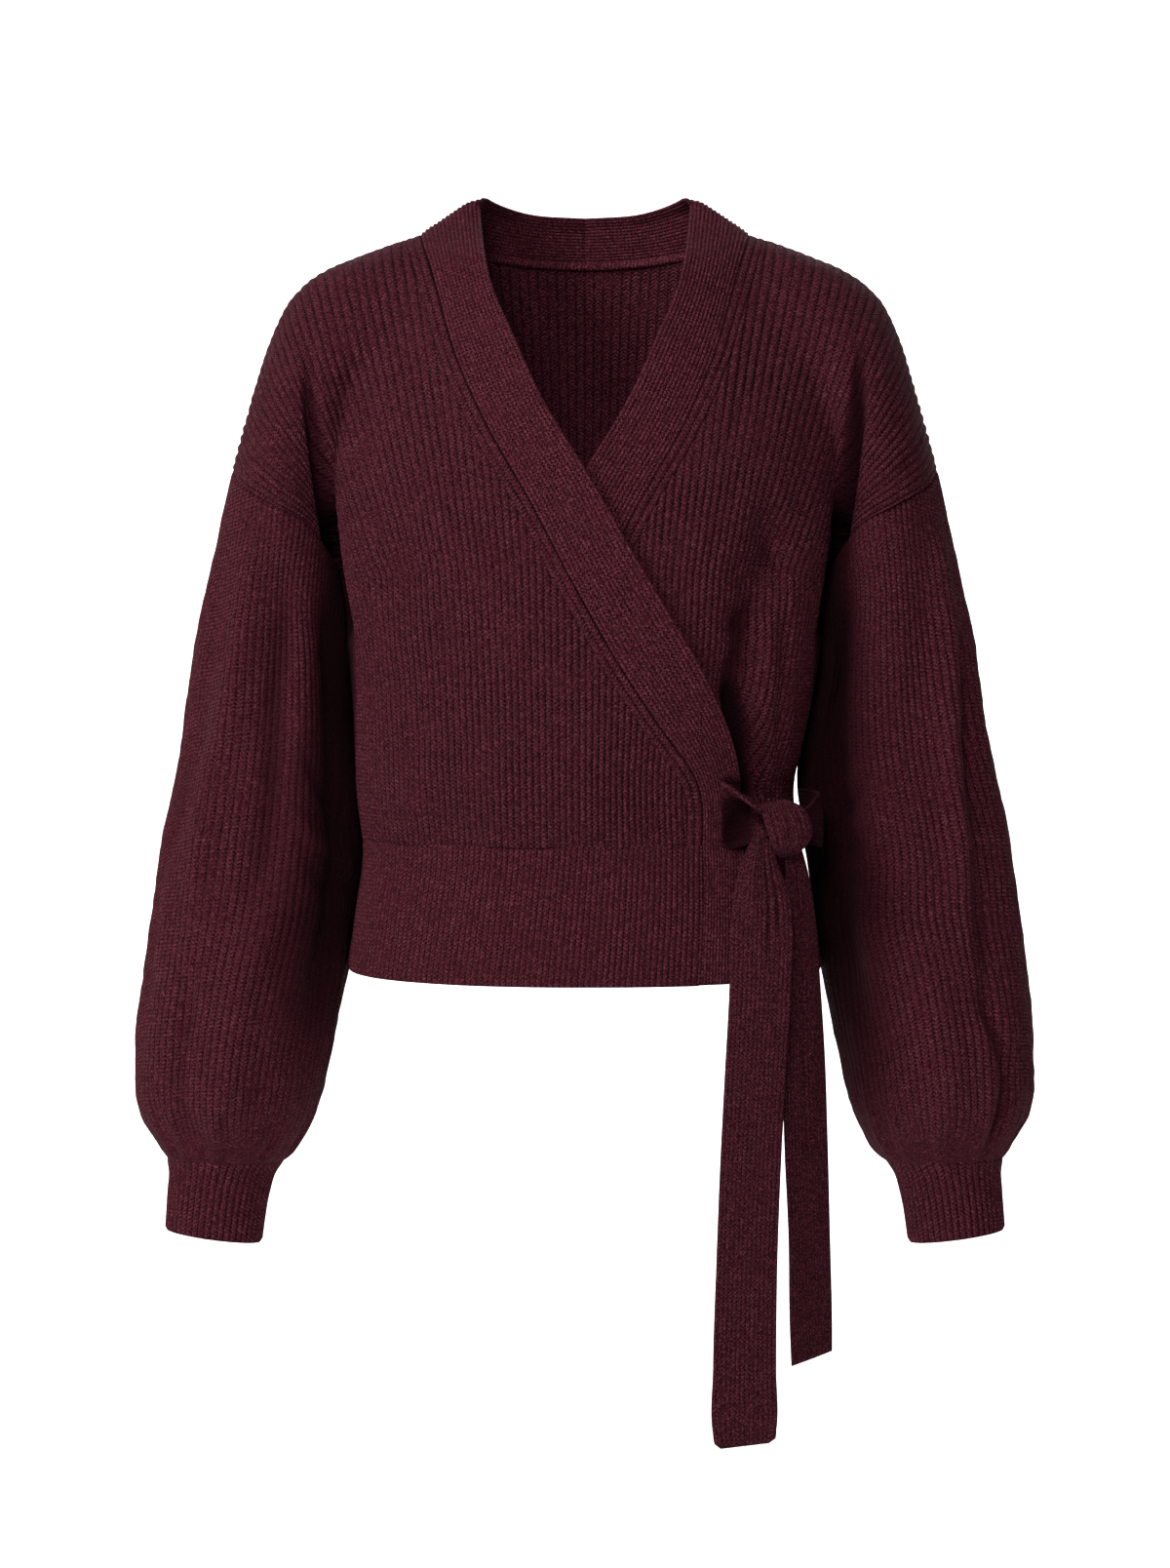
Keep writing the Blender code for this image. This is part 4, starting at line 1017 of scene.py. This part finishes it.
def band_lines(side):
    """Seam, middle and free edge of the band, from the centre back to the lower edge of the front."""
    level = lap_level(side)
    way = np.linspace(0, 1, 60, endpoint=False)
    across, height = NECK_HALF * way, back_neck(way)
    behind = np.column_stack([side * across, depth(across, height, "back") + SEAM_GAP / 2, height])
    stand = [follow(NECK_STAND["share"], NECK_STAND[name], way) for name in ("across", "depth", "height")]
    behind_edge = np.column_stack([side * stand[0], stand[1], stand[2]])
    low = np.linspace(NECK_HEIGHT, HEM_HEIGHT - HEM_DIP * 0.72, 320)
    before = front_at(side * seam_line(low), low, level)
    edge_x, edge_z = (edge_line(name, low) for name in ("edge_across", "edge_height"))
    rolled = smooth((NECK_HEIGHT - low) / 0.04)
    before_edge = front_at(side * edge_x, edge_z, level)
    before_edge[:, 1] *= rolled
    seam = np.concatenate([behind, before])
    edge = np.concatenate([behind_edge, before_edge])
    middle = (seam + edge) / 2
    bulge = front_at(middle[:, 0], middle[:, 2], level)[:, 1]
    middle[:, 1] += (bulge - middle[:, 1]) * np.concatenate([np.zeros(len(behind)), rolled])
    run = run_of(middle)
    at = np.linspace(0, run[-1], 250)
    seam, middle, edge = (read_line(at, run, line) for line in (seam, middle, edge))
    return seam, eased(middle, 3), eased(edge, 24), at


def build_neckband(name, node, side):
    seam, middle, edge, at = band_lines(side)
    seam = seam + unit(edge - seam) * SEAM_GAP
    place, height, count = flat_profile(BAND_RIBS, BAND_CLOTH, RELIEF["band"])
    bend = 4 * place * (1 - place)
    grid = between(seam, edge, place) + (middle - (seam + edge) / 2)[:, None, :] * bend[None, :, None]
    normals = outward(grid)
    normals[0, :, 0] = 0.0
    grid[0, :, 0] = -side * SEAM_GAP
    if side < 0:  # room for the tie that is sewn on there
        dent = smooth((grid[..., 0] - 0.0880) / 0.006) * smooth((grid[..., 2] + 0.4115) / 0.008)
        grid[..., 1] += 0.0120 * dent * smooth((-0.3640 - grid[..., 2]) / 0.010)
    curl = smooth((edge[:, 2] + 0.010) / 0.030)[:, None] * smooth((place - 0.66) / 0.34)[None, :] ** 2
    grid = grid - normals * (0.0042 * curl)[..., None]
    near_hem = smooth((at[-1] - at) / 0.004)[:, None]
    waist = pinch(grid[..., 2] - (WAIST_HEIGHT - WAIST_DIP * 0.9), BAND_GROOVE)
    waist = waist * (grid[..., 1] < 0) + pinch(at, ARMHOLE_GROOVE)[:, None]
    soft = 0.0003 * np.sin(150 * at)[:, None] * np.sin(math.pi * place)[None, :] + lumps(grid) / 2
    half = height[None, :] * (0.35 + 0.65 * near_hem)
    level = -BAND_CLOTH / 2 + soft + 0.0006 * smooth((place - 0.86) / 0.1)[None, :]
    front = grid + normals * (level + half + waist)[..., None]
    behind = grid + normals * (level - half)[..., None]
    return loop_of_cloth(name, node, front, behind, flat_marks(count, at), "band")


def build_neck_seam():
    """The linked edge inside the back neck, where the band is sewn on: a thin soft roll."""
    x = np.linspace(-0.1035, 0.1035, 130)
    z = back_neck(np.abs(x) / NECK_HALF) - 0.0018
    line = np.column_stack([x, depth(np.abs(x), z, "back") - CLOTH - 0.0003, z])
    up = unit(np.cross(unit(np.gradient(line, axis=0)), np.array([0.0, 1.0, 0.0])))
    out = np.cross(up, unit(np.gradient(line, axis=0)))
    turn = np.linspace(0, 2 * math.pi, 10, endpoint=False)
    run = run_of(line)
    reach = 0.0029 * (1 + 0.07 * np.sin(2 * math.pi * run / 0.0052))
    ring = np.cos(turn)[None, :, None] * up[:, None, :] + 0.6 * np.sin(turn)[None, :, None] * out[:, None, :]
    grid = line[:, None, :] + ring * reach[:, None, None]
    marks = marks_of(turn[None, :] / 6.3, (run / STITCH)[:, None])
    return loop_of_cloth("neck_seam", None, grid[:, :5], grid[:, :4:-1], marks, "band")


# Ties.
def facing_out(grid):
    normals = grid_normals(grid)
    return normals if (normals * grid * (1, 1, 0)).sum() >= 0 else -normals


def build_ribbon(name, node, course, folds=(), shade=(0.0, 0.0, 0.0)):
    """A flat tie. Each fold is a place across it, its start and end along it, a width and a height.
    Shade says from which place across it, and up to what length, shade is painted on it, and how dark."""
    first, last = columns_of(course, "ax ay az"), columns_of(course, "bx by bz")
    run = run_of((first + last) / 2)
    at = np.linspace(0, run[-1], max(12, round(run[-1] / 0.003)))
    place, height, count = flat_profile(TIE_RIBS, TIE_CLOTH, RELIEF["tie"])
    grid = between(follow(run, first, at), follow(run, last, at), place)
    off = follow(run, course["cup"], at)[:, None] * (4 * place * (1 - place))[None, :]
    for across, start, end, width, deep in folds:
        fade = smooth((at - start) / 0.012 + 0.5) * smooth((end - at) / 0.02 + 0.5)
        off = off + deep * fade[:, None] * bell(place - across, width)[None, :]
    grid = grid + facing_out(grid) * off[..., None]
    ends = smooth(np.minimum(at, at[-1] - at) / 0.003 + 0.15)[:, None]
    half = facing_out(grid) * (height[None, :] * ends)[..., None]
    # Painted shade over the part of the tie that shade names.
    start, end, deep = shade
    painted_shade = deep * smooth((place - start) / 0.12 + 0.5)[None, :] * smooth((end - at) / 0.008 + 0.5)[:, None]
    painted_shade = np.concatenate([painted_shade, painted_shade[:, ::-1]], axis=1)
    return loop_of_cloth(name, node, grid + half, grid - half, flat_marks(count, at), "tie", painted_shade)


def build_knot():
    """The turn of the tie that is wrapped round the other one and pulled tight."""
    way = np.linspace(0, 1, 96, endpoint=False)
    first, last = (follow(KNOT["way"], columns_of(KNOT, names), way) for names in ("ax ay az", "bx by bz"))
    place, height, count = flat_profile(TIE_RIBS, TIE_CLOTH, RELIEF["tie"])
    grid = between(first, last, place)
    centre = grid.mean(axis=(0, 1))

    def away(points):
        normals = grid_normals(points, closed_along=True)
        return normals if (normals * (points - centre)).sum() > 0 else -normals

    bulge = follow(KNOT["way"], KNOT["cup"], way)[:, None] * (1 - (2 * np.abs(place - 0.47)) ** 4)[None, :]
    across = place[None, :] + 0.05 * np.sin(2 * math.pi * way)[:, None]
    fade = smooth(np.abs(way - 0.25) / -0.12 + 1.6)[:, None]
    for middle, width, deep in ((0.24, 0.05, -0.0014), (0.55, 0.06, -0.0010), (0.80, 0.05, -0.0013)):
        bulge = bulge + deep * bell(across - middle, width) * fade
    grid = grid + away(grid) * bulge[..., None]
    half = away(grid) * height[None, :, None]
    marks = flat_marks(count, way * KNOT_TURN)
    wrap = (0.0, KNOT_TURN / STITCH)
    return loop_of_cloth("knot_turn", "knot", grid + half, grid - half, marks, "tie", wrap=wrap)


# Materials.
def add(tree, kind, values=(), settings=(), links=()):
    node = tree.nodes.new(kind)
    for name, value in settings:
        setattr(node, name, value)
    for name, value in values:
        node.inputs[name].default_value = value
    for name, source in links:
        tree.links.new(source, node.inputs[name])
    return node


def maths(tree, operation, *inputs):
    node = tree.nodes.new("ShaderNodeMath")
    node.operation = operation
    for number, value in enumerate(inputs):
        if isinstance(value, (int, float)):
            node.inputs[number].default_value = value
        else:
            tree.links.new(value, node.inputs[number])
    return node.outputs[0]


def new_material(name, **sockets):
    """A material, its nodes and its shader, with the shader's sockets set."""
    material = bpy.data.materials.new(name)
    material.use_nodes = True
    shader = material.node_tree.nodes["Principled BSDF"]
    for socket, value in sockets.items():
        shader.inputs[socket.replace("_", " ")].default_value = value
    return material, material.node_tree, shader


DARK, MIDDLE, LIGHT = (0.0060, 0.0008, 0.0014), (0.0400, 0.0062, 0.0105), (0.1500, 0.0360, 0.0530)
SHEEN = (0.70, 0.25, 0.33, 1.0)


def knit(name, relief, furrows, tint=1.0, grain=1.0, dots=1.0, faded=None):
    """Brushed wool: V-shaped stitches on each rib, fibres of three tones, and a soft nap. Relief is the
    height of the stitches. Furrows says how dark the shade painted in the furrows between the ribs is, grain
    how strongly the fibres are coloured, and dots how much the stitches in the furrows break up that painted
    shade. Each stitch is painted lighter where it stands highest, a painted highlight. Tint makes a lighter
    or darker copy of the same wool. Faded gives the heights between which the stitches begin."""
    gloss = {"Roughness": 0.95, "Specular_IOR_Level": 0.05}
    sheen = {"Sheen_Weight": 0.02, "Sheen_Roughness": 0.5, "Sheen_Tint": SHEEN}
    material, tree, shader = new_material(name, **gloss, **sheen)
    plus, minus, times = (partial(maths, tree, operation) for operation in ("ADD", "SUBTRACT", "MULTIPLY"))
    uv = add(tree, "ShaderNodeUVMap", settings=(("uv_map", "knit"),))
    part_of = add(tree, "ShaderNodeSeparateXYZ", links=(("Vector", uv.outputs["UV"]),))
    rib, stitch = part_of.outputs["X"], part_of.outputs["Y"]
    place = add(tree, "ShaderNodeTexCoord").outputs["Object"]

    def noise(scale, detail, rough, distortion=0.0):
        values = (("Scale", scale), ("Detail", detail), ("Roughness", rough), ("Distortion", distortion))
        return add(tree, "ShaderNodeTexNoise", values, links=(("Vector", place),)).outputs["Fac"]

    def ramp(source, low, high, start=0.0, end=1.0):
        values = (("From Min", low), ("From Max", high), ("To Min", start), ("To Max", end))
        smoothed = (("interpolation_type", "SMOOTHSTEP"),)
        return add(tree, "ShaderNodeMapRange", values, smoothed, (("Value", source),)).outputs["Result"]

    fibre, heather = noise(1500.0, 2.0, 0.6), noise(800.0, 3.0, 0.7)
    tufts, felt = noise(230.0, 3.0, 0.65, 0.6), noise(42.0, 3.0, 0.6)
    off = maths(tree, "ABSOLUTE", minus(maths(tree, "FRACT", plus(rib, 0.5)), 0.5))
    leg = plus(plus(stitch, times(off, 1.5)), times(tufts, 0.7))
    wave = plus(times(maths(tree, "COSINE", times(leg, 2 * math.pi)), 0.5), 0.5)
    furrow = ramp(off, 0.29, 0.5)
    clear = ramp(felt, 0.32, 0.62, 0.45, 1.0)
    if faded:
        level = add(tree, "ShaderNodeSeparateXYZ", links=(("Vector", place),)).outputs["Z"]
        clear = times(clear, ramp(level, *faded))

    tone = times(ramp(heather, 0.36, 0.64), 0.50 * grain)
    tone = plus(tone, times(ramp(fibre, 0.38, 0.66), 0.26 * grain))
    tone = plus(tone, 0.38 * (1 - grain))
    # A painted highlight: each stitch is lighter where it stands highest, as the bump below raises it.
    tone = plus(tone, times(times(wave, clear), 0.22))
    tone = plus(tone, times(ramp(tufts, 0.45, 0.75), 0.14))
    # Painted shade in the furrows between the ribs, broken up by the stitches there.
    dotted = times(furrow, minus(0.8 + 0.5 * dots, times(wave, dots)))
    tone = minus(tone, times(times(dotted, clear), furrows))
    # Painted shade: the tone is darkened by up to 0.97 of itself where the mesh's painted shade attribute
    # marks a fold, a crease or a gap.
    painted_shade = add(tree, "ShaderNodeAttribute", settings=(("attribute_name", "painted_shade"),)).outputs["Fac"]
    tone = times(tone, minus(1.0, times(painted_shade, 0.97)))
    colour = add(tree, "ShaderNodeValToRGB", links=(("Fac", tone),))
    stops = colour.color_ramp.elements
    stops[0].position, stops[0].color = 0.0, (*DARK, 1.0)
    stops[1].position, stops[1].color = 0.95, (*(tint * c for c in LIGHT), 1.0)
    stops.new(0.46).color = (*(tint * c for c in MIDDLE), 1.0)
    tree.links.new(colour.outputs["Color"], shader.inputs["Base Color"])

    height = times(times(times(wave, minus(1.0, furrow)), clear), relief)
    for source, amount in ((fibre, 0.0006), (heather, 0.0007), (tufts, 0.0014)):
        height = plus(height, times(source, amount * grain))
    bump = add(tree, "ShaderNodeBump", (("Strength", 1.0), ("Distance", 1.0)), links=(("Height", height),))
    tree.links.new(bump.outputs["Normal"], shader.inputs["Normal"])
    return material


LOOKS = {
    "body": knit("wool_body", relief=0.0010, furrows=0.46, grain=0.9),
    "sleeve": knit("wool_sleeve", relief=0.0008, furrows=0.42, grain=0.8, faded=(-0.615, -0.585)),
    "hem": knit("wool_hem", relief=0.0006, furrows=0.55, grain=0.75, dots=0.6),
    # The band is a lighter copy of the same wool, a painted highlight, and the tie a darker copy, painted
    # shade.
    "band": knit("wool_band", relief=0.0006, furrows=0.40, tint=1.18),
    "tie": knit("wool_tie", relief=0.0006, furrows=0.36, tint=0.8),
}

# The garment.
back = build_back()
right_front = build_front("right_front_panel", "right_front", -1)
left_front = build_front("left_front_panel", "left_front", 1)
right_strip = build_strip("right_front_edge_ribs", -1)
left_strip = build_strip("left_front_edge_ribs", 1)
hem_back, hem_right, hem_left = build_hems()
sleeve_right = build_sleeve("sleeve_right_knit", "sleeve_right", -1)
sleeve_left = build_sleeve("sleeve_left_knit", "sleeve_left", 1)
cuff_right = build_cuff("cuff_rib_right", "cuff_right", -1)
cuff_left = build_cuff("cuff_rib_left", "cuff_left", 1)
band_right = build_neckband("neckband_knit_right", "neckband_right", -1)
band_left = build_neckband("neckband_knit_left", "neckband_left", 1)
build_neck_seam()
FRONT_STRAP_FOLDS = ((0.09, 0.0, 0.05, 0.10, 0.0062),)
FRONT_TAIL_FOLDS = (
    (0.60, 0.0, 0.075, 0.035, -0.0030),
    (0.76, 0.0, 0.060, 0.030, -0.0026),
    (0.30, 0.0, 0.050, 0.100, 0.0014),
)
BACK_TAIL_FOLDS = ((0.45, 0.0, 0.20, 0.09, -0.0022),)
# Painted shade on the ties: in the front strap's recess, and over the whole back strap.
FRONT_SHADE, BACK_SHADE = (0.26, 0.024, 0.75), (-0.5, 1.0, 0.60)
strap_front = build_ribbon(
    "tie_front_strap_knit", "tie_front_strap", STRAP_FRONT, FRONT_STRAP_FOLDS, FRONT_SHADE
)
tail_front = build_ribbon("tie_front_tail_knit", "tie_front_tail", TAIL_FRONT, FRONT_TAIL_FOLDS)
strap_back = build_ribbon("tie_back_strap_knit", "tie_back_strap", STRAP_BACK, (), BACK_SHADE)
tail_back = build_ribbon("tie_back_tail_knit", "tie_back_tail", TAIL_BACK, BACK_TAIL_FOLDS)
knot = build_knot()

# Stage, lights and camera.
FLOOR_HEIGHT, FLOOR_FRONT, FLOOR_BACK, FLOOR_SIDE = -1.0, -6.0, 3.0, 8.0
WALL_BEND, WALL_TOP = 1.5, 5.0
WORLD_LIGHT, BACKDROP_LIGHT = 0.06, 0.94  # for all rays, and more for the camera's own


def put_object(name, data):
    thing = bpy.data.objects.new(name, data)
    bpy.context.scene.collection.objects.link(thing)
    return thing


def build_stage():
    """A pale floor that curves up into the wall behind."""
    line = [(FLOOR_FRONT, FLOOR_HEIGHT), (FLOOR_BACK, FLOOR_HEIGHT)]
    for angle in np.linspace(0, math.pi / 2, 14)[1:]:
        up = WALL_BEND * (1 - math.cos(angle))
        line.append((FLOOR_BACK + WALL_BEND * math.sin(angle), FLOOR_HEIGHT + up))
    line.append((FLOOR_BACK + WALL_BEND, WALL_TOP))
    points = [(x, y, z) for y, z in line for x in (-FLOOR_SIDE, FLOOR_SIDE)]
    faces = [(2 * i, 2 * i + 1, 2 * i + 3, 2 * i + 2) for i in range(len(line) - 1)]
    mesh = bpy.data.meshes.new("studio_floor")
    mesh.from_pydata(points, [], faces)
    mesh.shade_smooth()
    mesh.materials.append(new_material("studio_white", Base_Color=(0.90, 0.90, 0.90, 1.0), Roughness=0.9)[0])
    put_object("studio_floor", mesh)


def add_light(name, place, target, size, power):
    lamp = bpy.data.lights.new(name, "AREA")
    lamp.shape = "RECTANGLE"
    lamp.size, lamp.size_y = size
    lamp.energy = power
    thing = put_object(name, lamp)
    thing.location = place
    aim = Vector(target) - Vector(place)
    thing.rotation_euler = aim.to_track_quat("-Z", "Y").to_euler()


build_stage()
add_light("key", (-2.0, -1.6, 1.4), (-0.1, 0, -0.3), (1.0, 1.0), 90)
add_light("top_front", (-0.5, -3.0, 0.9), (0, 0, -0.2), (0.8, 0.7), 62)
add_light("behind", (0.6, 2.2, 1.6), (0, 0, -0.3), (1.6, 1.2), 34)
add_light("wall_left", (-2.6, 2.2, 1.2), (-0.6, 4.5, 0.0), (1.5, 2.5), 110)
add_light("wall_right", (2.6, 2.2, 1.2), (0.6, 4.5, 0.0), (1.5, 2.5), 110)
add_light("floor", (0.0, 2.4, 2.2), (0.0, 2.9, -1.0), (3.0, 1.6), 80)

world = bpy.data.worlds.new("studio")
bpy.context.scene.world = world
world.use_nodes = True
sky = world.node_tree.nodes["Background"]
sky.inputs["Color"].default_value = (1.0, 1.0, 1.0, 1.0)
seen = add(world.node_tree, "ShaderNodeLightPath").outputs["Is Camera Ray"]
extra = maths(world.node_tree, "MULTIPLY", seen, BACKDROP_LIGHT)
strength = maths(world.node_tree, "ADD", extra, WORLD_LIGHT)
world.node_tree.links.new(strength, sky.inputs["Strength"])
bpy.context.scene.view_settings.view_transform = "Standard"

lens = bpy.data.cameras.new("camera")
lens.lens = 89.55
lens.sensor_fit = "VERTICAL"
lens.sensor_height = 36.0
camera = put_object("camera", lens)
camera.location = (0.0, -2.6, -0.36985)
camera.rotation_euler = (math.pi / 2, 0.0, 0.0)
bpy.context.scene.camera = camera
